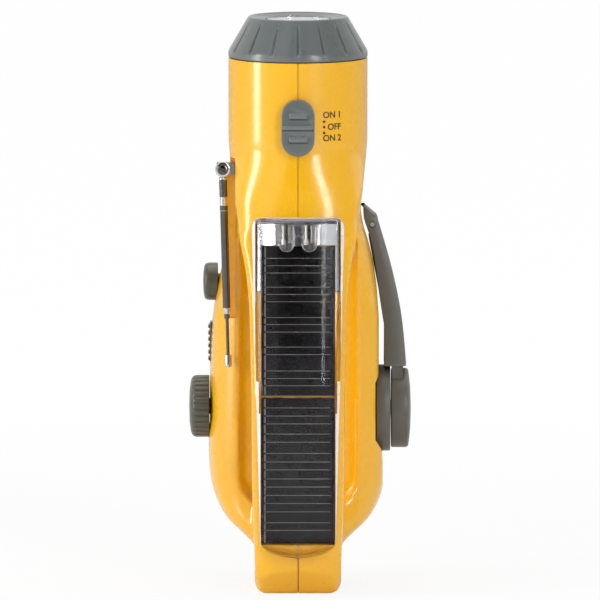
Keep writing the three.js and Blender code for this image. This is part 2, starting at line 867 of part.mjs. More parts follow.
const yellow = 0xf2b22a
const darkGrey = 0x5a5953
const coolGrey = 0x62655f
const steel = 0xb8bab8

add(torch, 'left_housing', leftHousing, yellow, 0.35)
add(torch, 'right_housing', rightHousing, yellow, 0.35)

// Speaker grille: the disc of the belly wall that the hole leaves, cut by slots
function speakerGrille() {
  const disc = bodySolid(0, bodyLevels, bodySides).subtract(bodySolid(shellWall, bodyLevels, bodySides))
    .intersect(bar('y', grilleRadius, bodyBack / 2, bodyBack + overrun, 0, speakerHeight, 28))
  const slots = []
  for (let row = 0; row < grilleSlotCount; row += 1) {
    const offset = (row - (grilleSlotCount - 1) / 2) * grilleSlotPitch
    const half = Math.sqrt((grilleRadius - grilleSlotWidth) ** 2 - offset ** 2) - grilleSlotWidth / 2
    slots.push(block([-half, 0, speakerHeight + offset - grilleSlotWidth / 2],
      [half, bodyBack + overrun, speakerHeight + offset + grilleSlotWidth / 2]))
  }
  return cut(disc, ...slots)
}
add(torch, 'speaker_grille', speakerGrille(), darkGrey, 0.6)

// Loudspeaker: frame with a magnet behind it
const speakerFace = bodyBack - speakerSetback
add(torch, 'speaker', join(
  bar('y', speakerRadius, speakerFace - speakerDepth / 2, speakerFace, 0, speakerHeight, 28),
  bar('y', speakerMagnetRadius, speakerFace - speakerDepth, speakerFace - speakerDepth / 3, 0,
    speakerHeight, 20)
), 0x2c2c2c, 0.6)

// Bezel with its flutes. The cone bulges: [share of the way inward, share of the way up]
const bezelConeShares = [[0.26, 0.34], [0.58, 0.68]]
// Each flute's narrow end as a share of its width, then its length and middle as shares of the cone
const [fluteEndShare, fluteLengthShare, fluteMiddleShare] = [0.6, 1.1, 0.42]

function bezel() {
  const skirtTop = bezelLow + bezelSkirt
  const coneHeight = bezelTop - skirtTop
  const seatTop = bezelTop - dishDepth - dishWall
  const ring = turned([
    [bezelSpigotRadius - bezelSpigotWall, bezelLow - bezelSpigotLength],
    [bezelSpigotRadius - gap, bezelLow - bezelSpigotLength],
    [bezelSpigotRadius - gap, bezelLow],
    [headRadius, bezelLow],
    [headRadius, skirtTop],
    ...bezelConeShares.map(([inward, up]) => [
      THREE.MathUtils.lerp(headRadius, bezelLipRadius, inward),
      skirtTop + coneHeight * up
    ]),
    [bezelLipRadius + bezelLipWidth / 2, bezelTop - bezelLipWidth / 2],
    [bezelLipRadius, bezelTop],
    [bezelLipRadius - bezelLipWidth, bezelTop],
    [dishRimRadius, bezelTop - dishRimDepth],
    [apertureRadius, bezelTop - dishDepth],
    [apertureRadius, seatTop],
    [lensRadius + gap, seatTop],
    [lensRadius + gap, seatTop - sealThickness - lensThickness - 3 * gap],
    [lensRadius + bezelSpigotWall, seatTop - sealThickness - lensThickness - 3 * gap],
    [bezelSpigotRadius - bezelSpigotWall, skirtTop],
    [bezelSpigotRadius - bezelSpigotWall, bezelLow - bezelSpigotLength]
  ], 32)
  const flutes = []
  for (let flute = 0; flute < bezelFluteCount; flute += 1) {
    const coneSlope = Math.atan2(headRadius - bezelLipRadius, coneHeight)
    const geometry = new THREE.CylinderGeometry(fluteEndShare * bezelFluteWidth / 2, bezelFluteWidth / 2,
      coneHeight * fluteLengthShare, 4)
    geometry.rotateX(Math.PI / 2)
    geometry.rotateX(-coneSlope)
    geometry.translate(0, -(headRadius + bezelLipRadius) / 2 - bezelFluteWidth / 2 + bezelFluteDepth,
      skirtTop + coneHeight * fluteMiddleShare)
    geometry.rotateZ(2 * Math.PI * flute / bezelFluteCount)
    flutes.push(solid(geometry))
  }
  return cut(ring, ...flutes)
}
add(torch, 'head_bezel', bezel(), coolGrey, 0.45)

const sealTop = bezelTop - dishDepth - dishWall - gap
const lensTop = sealTop - sealThickness - gap
const flangeTop = lensTop - lensThickness - gap
add(torch, 'lens_seal', cut(
  bar('z', lensRadius, sealTop - sealThickness, sealTop, 0, 0, 24),
  bar('z', apertureRadius, sealTop - 2 * sealThickness, sealTop + sealThickness, 0, 0, 24)
), 0x2a2a2a, 0.8)

// Front lens: a flange behind the seal, and a crown that fills the aperture flush with the dish
add(torch, 'front_lens', turned([
  [0, lensTop - lensThickness],
  [lensRadius, lensTop - lensThickness],
  [lensRadius, lensTop],
  [apertureRadius - gap, lensTop],
  [apertureRadius - gap, bezelTop - dishDepth],
  [0, bezelTop - dishDepth]
], 24), 0xdfe0ea, 0.1)

// Where a domed end starts to round over, as a share of its radius
const domeShare = 0.7

// Reflector: a bowl that hangs by its flange
const bowlShares = [0, 0.25, 0.5, 0.75, 1]

function reflector() {
  const throat = flangeTop - reflectorDepth
  const rim = apertureRadius
  const bowl = bowlShares.map((share) => [
    THREE.MathUtils.lerp(reflectorThroatRadius, rim, Math.sqrt(share)),
    throat + share * (reflectorDepth - reflectorFlange)
  ])
  const inside = bowl.map(([radius, height]) => [radius, height]).reverse()
  const outside = bowl.map(([radius, height]) => [radius + reflectorWall, height])
  return turned([
    ...outside,
    [lensRadius, flangeTop - reflectorFlange],
    [lensRadius, flangeTop],
    [rim, flangeTop],
    ...inside,
    outside[0]
  ], 24)
}
add(torch, 'main_reflector', reflector(), 0xc9cacc, 0.12, 0.9)
add(torch, 'lamp_board', bar('z', lampBoardRadius, lampBoardLow, lampBoardLow + boardThickness, 0, 0, 28),
  0x2f6b3c, 0.6)
add(torch, 'main_lamp', turned([
  [0, lampBoardLow + boardThickness + gap],
  [lampRadius + gap, lampBoardLow + boardThickness + gap],
  [lampRadius + gap, lampBoardLow + boardThickness + 2 * gap],
  [lampRadius, lampBoardLow + boardThickness + 3 * gap],
  [lampRadius, lampBoardLow + boardThickness + lampLength - lampRadius],
  [lampRadius * domeShare, lampBoardLow + boardThickness + lampLength - lampRadius * (1 - domeShare)],
  [0, lampBoardLow + boardThickness + lampLength]
], 16), 0xf4f2e0, 0.2)

// Light switch
function lightSwitch() {
  const face = headRadius + gap
  const pad = cut(slabAcrossY(switchShape(0), -face - switchRise, -face / 2, 8),
    bar('z', face, -switchLength, switchLength, 0, 0, 40))
  const bars = [[0, switchWidth], [switchBarPitch, switchBarWidth], [-switchBarPitch, switchBarWidth]]
    .map(([height, width]) => block(
      [-width / 2, -face - switchRise - switchBarRise, height - switchBarHeight / 2],
      [width / 2, -face - switchRise / 2, height + switchBarHeight / 2]))
  const stem = block([-switchStemWidth / 2, -face - switchRise / 2, -switchStemLength / 2],
    [switchStemWidth / 2, -switchBodyFace - gap, switchStemLength / 2])
  return join(pad, stem, ...bars)
}
const switchButton = add(torch, 'light_switch_button', lightSwitch(), coolGrey, 0.5)
switchButton.position.z = switchHeight
add(torch, 'light_switch_body', block(
  [-switchBodyWidth / 2, -switchBodyFace, switchHeight - switchBodyLength / 2],
  [switchBodyWidth / 2, switchBodyDepth - switchBodyFace, switchHeight + switchBodyLength / 2]
), 0x26282a, 0.6)

// Clear cover: a crowned tray turned over on the handle
function coverOutline(inset) {
  const outline = new THREE.Shape()
  const [bottomHalf, topHalf] = [coverBottomHalfWidth - inset, coverTopHalfWidth - inset]
  const [bottom, top] = [coverBottomHeight + coverEndBow / 2 + inset, coverTopHeight - inset]
  const corner = coverCornerRadius - inset
  outline.moveTo(-bottomHalf, bottom)
  outline.quadraticCurveTo(0, bottom - 2 * coverEndBow, bottomHalf, bottom)
  outline.lineTo(topHalf, top - corner)
  outline.quadraticCurveTo(topHalf, top, topHalf - corner, top)
  outline.lineTo(corner - topHalf, top)
  outline.quadraticCurveTo(-topHalf, top, -topHalf, top - corner)
  return slabAcrossY(outline, -2 * handleJointReach, 0, 6)
}

function crownSolid(inset) {
  const rings = [handleLow, handleBottomHeight, handleJointHeight, handleTopHeight, bodyTop].map((height) => {
    const front = handleReachAt(height) + coverRise - inset
    const ring = []
    for (let step = 0; step <= coverCrownSteps; step += 1) {
      const x = THREE.MathUtils.lerp(-coverCrownHalf, coverCrownHalf, step / coverCrownSteps)
      const sag = coverCrownRadius - Math.sqrt(coverCrownRadius ** 2 - x ** 2)
      ring.push(new THREE.Vector3(x, sag - front, height))
    }
    const back = handleThickness / 2 - handleReachAt(height)
    ring.push(new THREE.Vector3(coverCrownHalf, back, height),
      new THREE.Vector3(-coverCrownHalf, back, height))
    return ring
  })
  return loft(rings)
}
const clearCover = cut(coverOutline(0).intersect(crownSolid(0)),
  coverOutline(coverWall).intersect(crownSolid(coverWall)), handleSolid(gap, handleLevels, handleSides))
add(torch, 'panel_cover', clearCover, 0xe8ecee, 0.08)

// Solar panels in their seat
const panelBack = panelSeatDepth - gap
add(torch, 'solar_panel_upper', onStretch(upperStretch,
  [-panelHalf, panelBack - panelThickness, panelJointGap],
  [panelHalf, panelBack, upperPanelLength]), 0x1f1d1c, 0.25)
add(torch, 'solar_panel_lower', onStretch(lowerStretch,
  [-panelHalf, panelBack - panelThickness, -lowerPanelLength],
  [panelHalf, panelBack, -panelJointGap]), 0x1f1d1c, 0.25)

// Silver tray round the signal lamps, with a rail down each side of the upper panel
function lampTray() {
  const whole = onStretch(upperStretch, [-trayHalf, -trayWall, trayStart - trayRailLength],
    [trayHalf, panelBack, trayEnd])
  const pocket = onStretch(upperStretch,
    [trayWall - trayHalf, -coverRise * 2, trayStart - 2 * trayRailLength],
    [trayHalf - trayWall, panelBack - trayWall, trayEnd - trayWall])
  const open = onStretch(upperStretch, [-panelHalf - gap, -coverRise * 2, trayStart - 2 * trayRailLength],
    [panelHalf + gap, coverRise, trayStart])
  return cut(whole.intersect(coverOutline(coverWall + gap)), pocket, open)
}
add(torch, 'lamp_tray', lampTray(), 0xc4c6c8, 0.2, 0.8)

const signalLampPlace = new THREE.Group()
signalLampPlace.applyMatrix4(upperStretch)
torch.add(signalLampPlace)
for (const [name, side] of [['signal_lamp_left', -1], ['signal_lamp_right', 1]]) {
  const lampTop = trayEnd - trayWall - gap
  const lamp = add(signalLampPlace, name, turned([
    [0, lampTop - signalLampLength - signalLampRadius],
    [signalLampRadius * domeShare, lampTop - signalLampLength - signalLampRadius * domeShare],
    [signalLampRadius, lampTop - signalLampLength],
    [signalLampRadius, lampTop],
    [0, lampTop]
  ], 14), 0xd8cfc8, 0.15)
  lamp.position.x = side * signalLampSpacing / 2
  lamp.position.y = panelBack - trayWall - gap - signalLampRadius
}

// Knobs on the left flank
function knob(radius, outerFace, innerFace, stemEnd, fluteCount, fluteRadius) {
  const edge = radius * knobEdgeShare
  const body = turned([
    [0, -outerFace],
    [radius - 2 * edge, -outerFace],
    [radius - edge / 2, edge / 2 - outerFace],
    [radius, 2 * edge - outerFace],
    [radius, -innerFace],
    [knobStemRadius, -innerFace],
    [knobStemRadius, -stemEnd],
    [0, -stemEnd]
  ], 24, 'x')
  const flutes = []
  for (let flute = 0; flute < fluteCount; flute += 1) {
    const angle = 2 * Math.PI * flute / fluteCount
    flutes.push(bar('x', fluteRadius, 2 * edge - outerFace, overrun - innerFace,
      (radius + fluteRadius / 2) * Math.cos(angle), (radius + fluteRadius / 2) * Math.sin(angle), 6))
  }
  return cut(body, ...flutes)
}
const tuningKnob = add(torch, 'tuning_knob',
  knob(tuningRadius, tuningOuterFace, tuningOuterFace - tuningThickness,
  capacitorFace + gap, tuningFluteCount, tuningFluteRadius), 0x514f46, 0.5)
tuningKnob.position.set(0, controlDepth, tuningHeight)
const volumeKnob = add(torch, 'volume_knob',
  knob(volumeRadius, volumeOuterFace, volumeOuterFace - volumeThickness,
  potFace + gap, 0, tuningFluteRadius), 0x514f46, 0.5)
volumeKnob.position.set(0, controlDepth, volumeHeight)

function bandButton() {
  const inner = bandOuterFace - bandThickness
  const plate = block([-bandOuterFace + bandRibRadius, -bandWidth / 2, -bandLength / 2],
    [-inner, bandWidth / 2, bandLength / 2])
  const ribs = []
  for (let rib = 0; rib < bandRibCount; rib += 1) {
    const height = (rib - (bandRibCount - 1) / 2) * bandRibPitch
    ribs.push(bar('y', bandRibRadius, -bandWidth / 2, bandWidth / 2, -bandOuterFace + bandRibRadius,
      height, 8))
  }
  const stem = block([-inner - gap, -bandStemWidth / 2, -bandStemWidth],
    [-bandBodyFace - gap, bandStemWidth / 2, bandStemWidth])
  return join(plate, stem, ...ribs)
}
const bandSlide = add(torch, 'band_switch_button', bandButton(), 0x514f46, 0.55)
bandSlide.position.set(0, controlDepth, bandHeight)

// The radio board and what it carries
function onBoard(name, face, width, low, high, color) {
  const body = block([-face, controlDepth - width / 2, low],
    [-boardFace - gap, controlDepth + width / 2, high])
  add(torch, name, body, color, 0.6)
}
onBoard('tuning_capacitor', capacitorFace, capacitorWidth, tuningHeight - capacitorSize / 2,
  tuningHeight + capacitorSize / 2, 0xd9d4c4)
onBoard('volume_potentiometer', potFace, potSize, volumeHeight - potSize / 2, volumeHeight + potSize / 2,
  0x2b2b2b)
onBoard('band_switch_body', bandBodyFace, bandBodyWidth, bandHeight - bandBodyLength / 2 + bandTravel / 2,
  bandHeight + bandBodyLength / 2 + bandTravel / 2, 0x2b2b2b)
add(torch, 'radio_board', block([-boardFace, boardFront, boardLow],
  [boardThickness - boardFace, boardBack, boardHigh]), 0x2f6b3c, 0.6)

// Ferrite rod in a clip on the top edge of the board
const rodX = -ferriteLength / 2
const clipMiddle = boardThickness / 2 - boardFace
add(torch, 'ferrite_holder', cut(
  block([clipMiddle - ferriteClipLength / 2, ferriteDepth - ferriteClipHalfWidth, boardHigh + gap],
    [clipMiddle + ferriteClipLength / 2, ferriteDepth + ferriteClipHalfWidth,
      ferriteHeight + ferriteClipRise]),
  bar('x', ferriteRadius + gap, -boardFace - ferriteClipLength, 0, ferriteDepth, ferriteHeight, 16)
), 0x2b2b2b, 0.6)
add(torch, 'ferrite_rod',
  bar('x', ferriteRadius, rodX, rodX + ferriteLength, ferriteDepth, ferriteHeight, 16), 0x33322f, 0.7)

// Batteries on their tray
const cellRows = [[-cellColumn, cellInset], [-cellColumn, cellInset + cellPitch],
  [cellPitch - cellColumn, cellInset]]
cellRows.forEach(([x, y], index) => {
  const can = bar('z', cellRadius, cellLow, cellLow + cellLength - cellContactHeight, x, y, 20)
  const button = bar('z', cellContactRadius, cellLow + cellLength / 2, cellLow + cellLength, x, y, 10)
  add(torch, `battery_cell_${index + 1}`, join(can, button), 0x3d7d5a, 0.4)
})
add(torch, 'battery_tray', block(
  [-boardFace + boardThickness + gap, shellWall + gap - troughFloor, cellLow - gap - cellTrayThickness],
  [gearPlateInner - gap, cellInset + cellPitch + cellRadius + gap, cellLow - gap]
), 0x3a3a38, 0.7)

// Antenna: bracket and screw stay put, the mast swings on the screw and pulls out
const antennaEyeBack = antennaEyeThickness / 2 - antennaPivotY
const bracketTop = antennaPivotZ + antennaBracketHeight / 2
const antennaBracket = cut(
  block([-antennaPivotX - antennaBracketWidth / 2, antennaEyeBack + gap,
    antennaPivotZ - antennaBracketHeight / 2],
    [-antennaChannelX - gap, -antennaChannelY - gap, bracketTop]),
  bar('y', antennaPinRadius + gap, -2 * antennaPivotY, antennaPivotY, -antennaPivotX, antennaPivotZ, 16)
)
add(torch, 'antenna_bracket', antennaBracket, steel, 0.3, 0.8)
add(torch, 'antenna_screw', join(
  bar('y', antennaPinRadius, antennaEyeBack - antennaEyeThickness - gap, -antennaChannelY - 2 * gap,
    -antennaPivotX, antennaPivotZ, 14),
  bar('y', antennaScrewHeadRadius, antennaEyeBack - antennaEyeThickness - gap - antennaScrewHeadRise,
    antennaEyeBack - antennaEyeThickness - gap, -antennaPivotX, antennaPivotZ, 20)
), steel, 0.25, 0.9)

const mast = new THREE.Group()
mast.position.set(-antennaPivotX, -antennaPivotY, antennaPivotZ)
mast.rotation.y = -antennaLean
torch.add(mast)

function hollowTube(outer, bore, from, to, sides) {
  return cut(bar('z', outer, from, to, 0, 0, sides),
    bar('z', bore, from - overrun, to + overrun, 0, 0, sides))
}
const tubeEnd = -antennaTubeStart - antennaTubeLength
const sleeveEnd = tubeEnd - antennaSleeveShow
add(mast, 'antenna_swivel', cut(join(
  bar('y', antennaEyeRadius, -antennaEyeThickness / 2, antennaEyeThickness / 2, 0, 0, 20),
  bar('z', antennaTubeRadius, gap - antennaTubeStart, -antennaEyeRadius / 2, 0, 0, 16)
), bar('y', antennaPinRadius + gap, -antennaEyeThickness, antennaEyeThickness, 0, 0, 14)), steel, 0.25, 0.9)
add(mast, 'antenna_outer_tube',
  hollowTube(antennaTubeRadius, antennaTubeBore, tubeEnd, -antennaTubeStart, 16), steel, 0.2, 1)
add(mast, 'antenna_sleeve',
  hollowTube(antennaSleeveRadius, antennaSleeveBore, sleeveEnd, sleeveEnd + antennaSleeveLength, 12),
  steel, 0.2, 1)
const rodBar = bar('z', antennaRodRadius, -antennaRodEnd - gap, antennaRodLength - antennaRodEnd, 0, 0, 10)
add(mast, 'antenna_rod', rodBar, steel, 0.2, 1)
add(mast, 'antenna_tip', cut(
  bar('z', antennaTipRadius, -antennaRodEnd - antennaTipLength, -antennaRodEnd, 0, 0, 16),
  bar('z', antennaRodRadius + gap, -antennaRodEnd - 2 * gap, -antennaRodEnd + overrun, 0, 0, 12)
), steel, 0.2, 1)

// Crank: everything here turns about X through the middle of this group
const crank = new THREE.Group()
crank.position.set(0, crankDepth, crankHeight)
torch.add(crank)

function armRing(reach, inner, outer, halfWidth, chamfer) {
  const points = [
    [outer - chamfer, -halfWidth], [outer, chamfer - halfWidth],
    [outer, halfWidth - chamfer], [outer - chamfer, halfWidth],
    [inner + chamfer / 2, halfWidth], [inner, halfWidth - chamfer / 2], [inner, chamfer / 2 - halfWidth],
    [inner + chamfer / 2, -halfWidth]
  ]
  return points.map(([x, y]) => new THREE.Vector3(x, y, reach))
}

function crankArm() {
  const flangeEdge = crankFlangeRadius + 2 * gap
  const rings = []
  for (let step = 0; step <= crankArmSteps; step += 1) {
    const reach = THREE.MathUtils.lerp(flangeEdge, crankArmReach, step / crankArmSteps)
    const share = reach / crankArmReach
    const tip = Math.max(0, reach - crankArmReach + crankArmBevel)
    rings.push(armRing(reach,
      THREE.MathUtils.lerp(crankArmRootInner, crankArmTipInner, shareAt(armInnerShares, share)),
      THREE.MathUtils.lerp(crankArmRootOuter, crankArmTipOuter, shareAt(armOuterShares, share)) - tip,
      THREE.MathUtils.lerp(crankArmRootHalfWidth, crankArmTipHalfWidth, share) - tip / 2, crankArmChamfer))
  }
  const rootOuter = crankArmRootOuter - crankArmChamfer
  const rootHalf = crankArmRootHalfWidth * armRootBlockShare
  const root = block([crankDrumFace + gap, -rootHalf, 0], [rootOuter, rootHalf, flangeEdge + overrun])
  const drumEnd = crankDrumFace + crankDrumThickness
  const drumEdge = crankArmChamfer
  const drum = turned([
    [0, crankDrumFace],
    [crankDrumRadius - drumEdge / 2, crankDrumFace],
    [crankDrumRadius, crankDrumFace + drumEdge / 2],
    [crankDrumRadius, drumEnd - drumEdge],
    [crankDrumRadius - drumEdge, drumEnd],
    [0, drumEnd]
  ], 32, 'x')
  const capSeat = bar('x', crankCapRadius + gap, drumEnd - crankCapThickness, drumEnd + overrun, 0, 0, 28)
  const shaftSeat = bar('x', crankShaftRadius + gap, crankDrumFace - overrun, crankShaftOuter + gap, 0, 0, 20)
  const screwSeat = bar('x', crankScrewHeadRadius + gap, crankShaftOuter + gap + crankScrewHeadHeight / 2,
    drumEnd, 0, 0, 20)
  const screwHole = bar('x', crankScrewRadius + gap, crankShaftOuter - overrun, drumEnd, 0, 0, 12)
  const gripSlot = block([0, -gripSlotHalfWidth, gripSlotLow],
    [2 * crankArmRootOuter, gripSlotHalfWidth, gripSlotHigh])
  const pinHole = bar('y', gripPinRadius + gap, -crankArmRootHalfWidth, crankArmRootHalfWidth, gripPivotX,
    gripPivotReach, 12)
  return cut(join(loft(rings), root, drum), capSeat, shaftSeat, screwSeat, screwHole, gripSlot, pinHole)
}
add(crank, 'crank_arm', crankArm(), darkGrey, 0.5)

const drumEnd = crankDrumFace + crankDrumThickness
add(crank, 'crank_cap', turned([
  [0, drumEnd - crankCapThickness + gap],
  [crankCapRadius, drumEnd - crankCapThickness + gap],
  [crankCapRadius, drumEnd],
  [crankCapRadius * capBendShare, drumEnd + crankCapDome * capBendRiseShare],
  [0, drumEnd + crankCapDome]
], 28, 'x'), darkGrey, 0.5)
const flangeBore = bar('x', crankShaftRadius + gap, crankFlangeFace - overrun,
  crankDrumFace + overrun, 0, 0, 20)
add(crank, 'crank_flange', cut(turned([
  [0, crankFlangeFace],
  [crankFlangeRadius - crankArmChamfer, crankFlangeFace],
  [crankFlangeRadius, crankFlangeFace + crankArmChamfer],
  [crankFlangeRadius, crankFlangeFace + crankFlangeThickness],
  [0, crankFlangeFace + crankFlangeThickness]
], 28, 'x'), flangeBore), darkGrey, 0.5)
const screwBore = bar('x', crankScrewRadius + gap, crankShaftOuter - crankScrewLength,
  crankShaftOuter + overrun, 0, 0, 12)
const shaftBar = bar('x', crankShaftRadius, crankShaftInner, crankShaftOuter, 0, 0, 20)
add(crank, 'crank_shaft', cut(shaftBar, screwBore), steel, 0.3, 0.9)
const screwFace = crankShaftOuter + 2 * gap + crankScrewHeadHeight / 2
add(crank, 'crank_screw', join(
  bar('x', crankScrewRadius, crankShaftOuter - crankScrewLength + gap, screwFace + gap, 0, 0, 10),
  bar('x', crankScrewHeadRadius, screwFace, screwFace + crankScrewHeadHeight / 2, 0, 0, 20)
), steel, 0.3, 0.9)
add(crank, 'crank_bush', cut(
  bar('x', crankBushRadius, crankFlangeFace - 2 * gap - shellWall / 2 - crankBushLength,
    crankFlangeFace - 2 * gap - shellWall / 2, 0, 0, 24),
  bar('x', crankShaftRadius + gap, driveGearInner, crankFlangeFace, 0, 0, 20)
), 0xb48a3c, 0.35, 0.9)
add(crank, 'grip_pin',
  bar('y', gripPinRadius, -crankArmTipHalfWidth, crankArmTipHalfWidth, gripPivotX, gripPivotReach, 12),
  steel, 0.3, 0.9)

const grip = new THREE.Group()
grip.position.set(gripPivotX, 0, gripPivotReach)
grip.rotation.y = -gripLean
crank.add(grip)
const gripEnd = -gripStart - gripLength
add(grip, 'grip_spindle', cut(join(
  bar('y', gripEyeRadius, gap - gripSlotHalfWidth, gripSlotHalfWidth - gap, 0, 0, 16),
  bar('z', gripSpindleRadius, gripEnd - gap, -gripEyeRadius / 2, 0, 0, 12),
  bar('z', gripHeadRadius, gripEnd - gap - gripHeadLength, gripEnd - gap, 0, 0, 16)
), bar('y', gripPinRadius + gap, -gripSlotHalfWidth, gripSlotHalfWidth, 0, 0, 12)), steel, 0.3, 0.9)
add(grip, 'crank_grip', cut(
  bar('z', gripEndRadius, gripEnd, -gripStart, 0, 0, 20, gripTopRadius),
  bar('z', gripBore, gripEnd - overrun, overrun - gripStart, 0, 0, 14)
), darkGrey, 0.5)

// Gears: involute teeth, with the first tooth or gap towards +Z
function gearOutline(module, teeth, halfPitchTurn) {
  const pitch = module * teeth / 2
  const base = pitch * Math.cos(gearPressureAngle)
  const tip = pitch + gearAddendumShare * module
  const root = pitch - gearDedendumShare * module
  const involute = (angle) => Math.tan(angle) - angle
  const halfAngleAt = (radius) => (Math.PI * module - gearBacklash) / (4 * pitch)
    + involute(gearPressureAngle) - involute(Math.acos(Math.min(1, base / radius)))
  const low = Math.max(base, root)
  const radii = [low, (low + tip) / 2, tip]
  const points = []
  for (let tooth = 0; tooth < teeth; tooth += 1) {
    const centre = Math.PI / 2 + 2 * Math.PI * (tooth + (halfPitchTurn ? 1 / 2 : 0)) / teeth
    const side = radii.map((radius) => [radius, halfAngleAt(radius)])
    if (root < base) side.unshift([root, halfAngleAt(base)])
    for (const [radius, half] of side) {
      points.push([radius * Math.cos(centre - half), radius * Math.sin(centre - half)])
    }
    for (const [radius, half] of side.reverse()) {
      points.push([radius * Math.cos(centre + half), radius * Math.sin(centre + half)])
    }
  }
  return points
}

function gear(module, teeth, halfPitchTurn, from, thickness) {
  return slabAcrossX(gearOutline(module, teeth, halfPitchTurn), from, from + thickness)
}

const driveGearEnd = driveGearInner + driveGearThickness
const driveGearBlank = gear(firstModule, drivenTeeth, false, driveGearInner, driveGearThickness)
const driveGearBore = bar('x', crankShaftRadius + gap, driveGearInner - overrun, driveGearEnd + overrun,
  0, 0, 20)
add(crank, 'drive_gear', cut(driveGearBlank, driveGearBore), 0xe9e5d8, 0.6)

const transferPlace = new THREE.Group()
transferPlace.position.set(0, crankDepth, transferHeight)
torch.add(transferPlace)
add(transferPlace, 'transfer_gear', cut(join(
  gear(secondModule, transferTeeth, false, transferGearInner, transferGearThickness),
  gear(firstModule, pinionTeeth, true, driveGearInner, driveGearThickness),
  bar('x', gearHubRadius, postFace, driveGearEnd + gap, 0, 0, 16)
), bar('x', gearAxleRadius + gap, 0, 2 * driveGearEnd, 0, 0, 14)), 0xe9e5d8, 0.6)
add(transferPlace, 'transfer_axle',
  bar('x', gearAxleRadius, gearPlateInner, crankFlangeFace - shellWall - gap, 0, 0, 12),
  steel, 0.3, 0.9)

// Generator: can, coil and magnet rotor behind the gear plate
const generatorPlace = new THREE.Group()
generatorPlace.position.set(0, crankDepth, rotorHeight)
torch.add(generatorPlace)
const canFace = gearPlateInner - gap
add(generatorPlace, 'generator_can', cut(
  bar('x', generatorRadius, canFace - generatorLength, canFace, 0, 0, 28),
  bar('x', generatorRadius - generatorWall, canFace - generatorLength + generatorWall, canFace + overrun,
    0, 0, 28)
), steel, 0.35, 0.8)
const coilRadius = generatorRadius - generatorWall - gap
add(generatorPlace, 'generator_coil', cut(
  bar('x', coilRadius, canFace - generatorLength + generatorWall + gap, canFace - gap, 0, 0, 24),
  bar('x', coilRadius - coilWall, 0 - generatorLength, canFace + overrun, 0, 0, 24)
), 0xa5622c, 0.4, 0.6)
const pinionEnd = transferGearInner + transferGearThickness + gap
add(generatorPlace, 'generator_rotor', join(
  bar('x', rotorRadius, canFace - generatorLength + generatorWall + 2 * gap, canFace - 2 * gap, 0, 0, 24),
  bar('x', rotorShaftRadius, 0, pinionEnd, 0, 0, 12),
  gear(secondModule, pinionTeeth, true, transferGearInner - gap, transferGearThickness + 2 * gap)
), 0x6f7274, 0.4, 0.6)

// Gear plate on the posts of the right housing
function gearPlate() {
  const outline = new THREE.Shape()
  const [middle, halfHeight] = [(gearPlateHigh + gearPlateLow) / 2, (gearPlateHigh - gearPlateLow) / 2]
  outline.absellipse(crankDepth, middle, gearPlateHalfWidth, halfHeight, 0, 2 * Math.PI)
  const from = gearPlateInner
  const plate = slabAcrossX(outline, from, from + gearPlateThickness, 16)
  const holes = [[crankHeight, crankShaftRadius], [transferHeight, gearAxleRadius],
    [rotorHeight, rotorShaftRadius]]
    .map(([height, radius]) => bar('x', radius + gap, from - overrun, from + 2 * gearPlateThickness,
      crankDepth, height, 16))
  return cut(plate, ...holes)
}
add(torch, 'gear_plate', gearPlate(), 0xd8d4c6, 0.6)

// Housing screws
screwSpots.forEach(([head, y, z], index) => {
  add(torch, `housing_screw_${index + 1}`, join(
    bar('x', screwHeadRadius, -head - screwHeadHeight, -head - gap, y, z, 12),
    bar('x', screwRadius, -head - gap - screwHeadHeight / 2, screwLength - head, y, z, 8)
  ), steel, 0.35, 0.8)
})

export default torch
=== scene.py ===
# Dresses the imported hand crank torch: smooth housing, clear cover, knobs, crank, antenna and looks.
from math import atan2, copysign, cos, hypot, pi, radians, sin, sqrt

import bmesh
import bpy
from mathutils import Matrix, Vector


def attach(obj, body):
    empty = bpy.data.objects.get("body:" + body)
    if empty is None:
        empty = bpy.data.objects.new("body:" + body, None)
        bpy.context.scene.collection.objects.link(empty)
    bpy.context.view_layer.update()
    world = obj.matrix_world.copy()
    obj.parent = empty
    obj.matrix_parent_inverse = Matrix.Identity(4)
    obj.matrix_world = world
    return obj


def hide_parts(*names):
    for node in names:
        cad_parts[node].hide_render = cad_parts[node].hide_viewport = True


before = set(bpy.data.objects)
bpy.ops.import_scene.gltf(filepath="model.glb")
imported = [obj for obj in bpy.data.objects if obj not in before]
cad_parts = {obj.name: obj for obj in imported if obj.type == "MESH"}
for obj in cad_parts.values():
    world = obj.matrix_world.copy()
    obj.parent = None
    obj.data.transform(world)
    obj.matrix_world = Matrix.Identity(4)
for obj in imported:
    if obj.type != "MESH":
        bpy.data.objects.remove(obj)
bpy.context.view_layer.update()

# The CAD frame has its origin under the middle of the outline. Lengths here are in millimetres
# from the torch axis, and SHIFT brings them to the frame of the CAD model.
MM = 0.001
SHIFT = Vector((-0.75, 0.0, 0.0))

# Play between pieces, wall of the housing, and limits outside the whole torch, where cuts may end
GAP, WALL = 0.3, 2.4
BEYOND, BELOW, ABOVE = 60, -10, 230
# Barrel and head, body, and the round of the body's sections
HEAD_R, WAIST_R, WAIST_Z, BARREL_LOW, HEAD_TOP, TAPER_TOP = 26.1, 23.7, 144.0, 128.0, 200.0, 169.0
BODY_TOP, BODY_HALF, BODY_FRONT, BODY_BACK, BODY_ROUND = 150.0, 33.8, 10.5, 42.95, 2.9
FLANK = 35.8
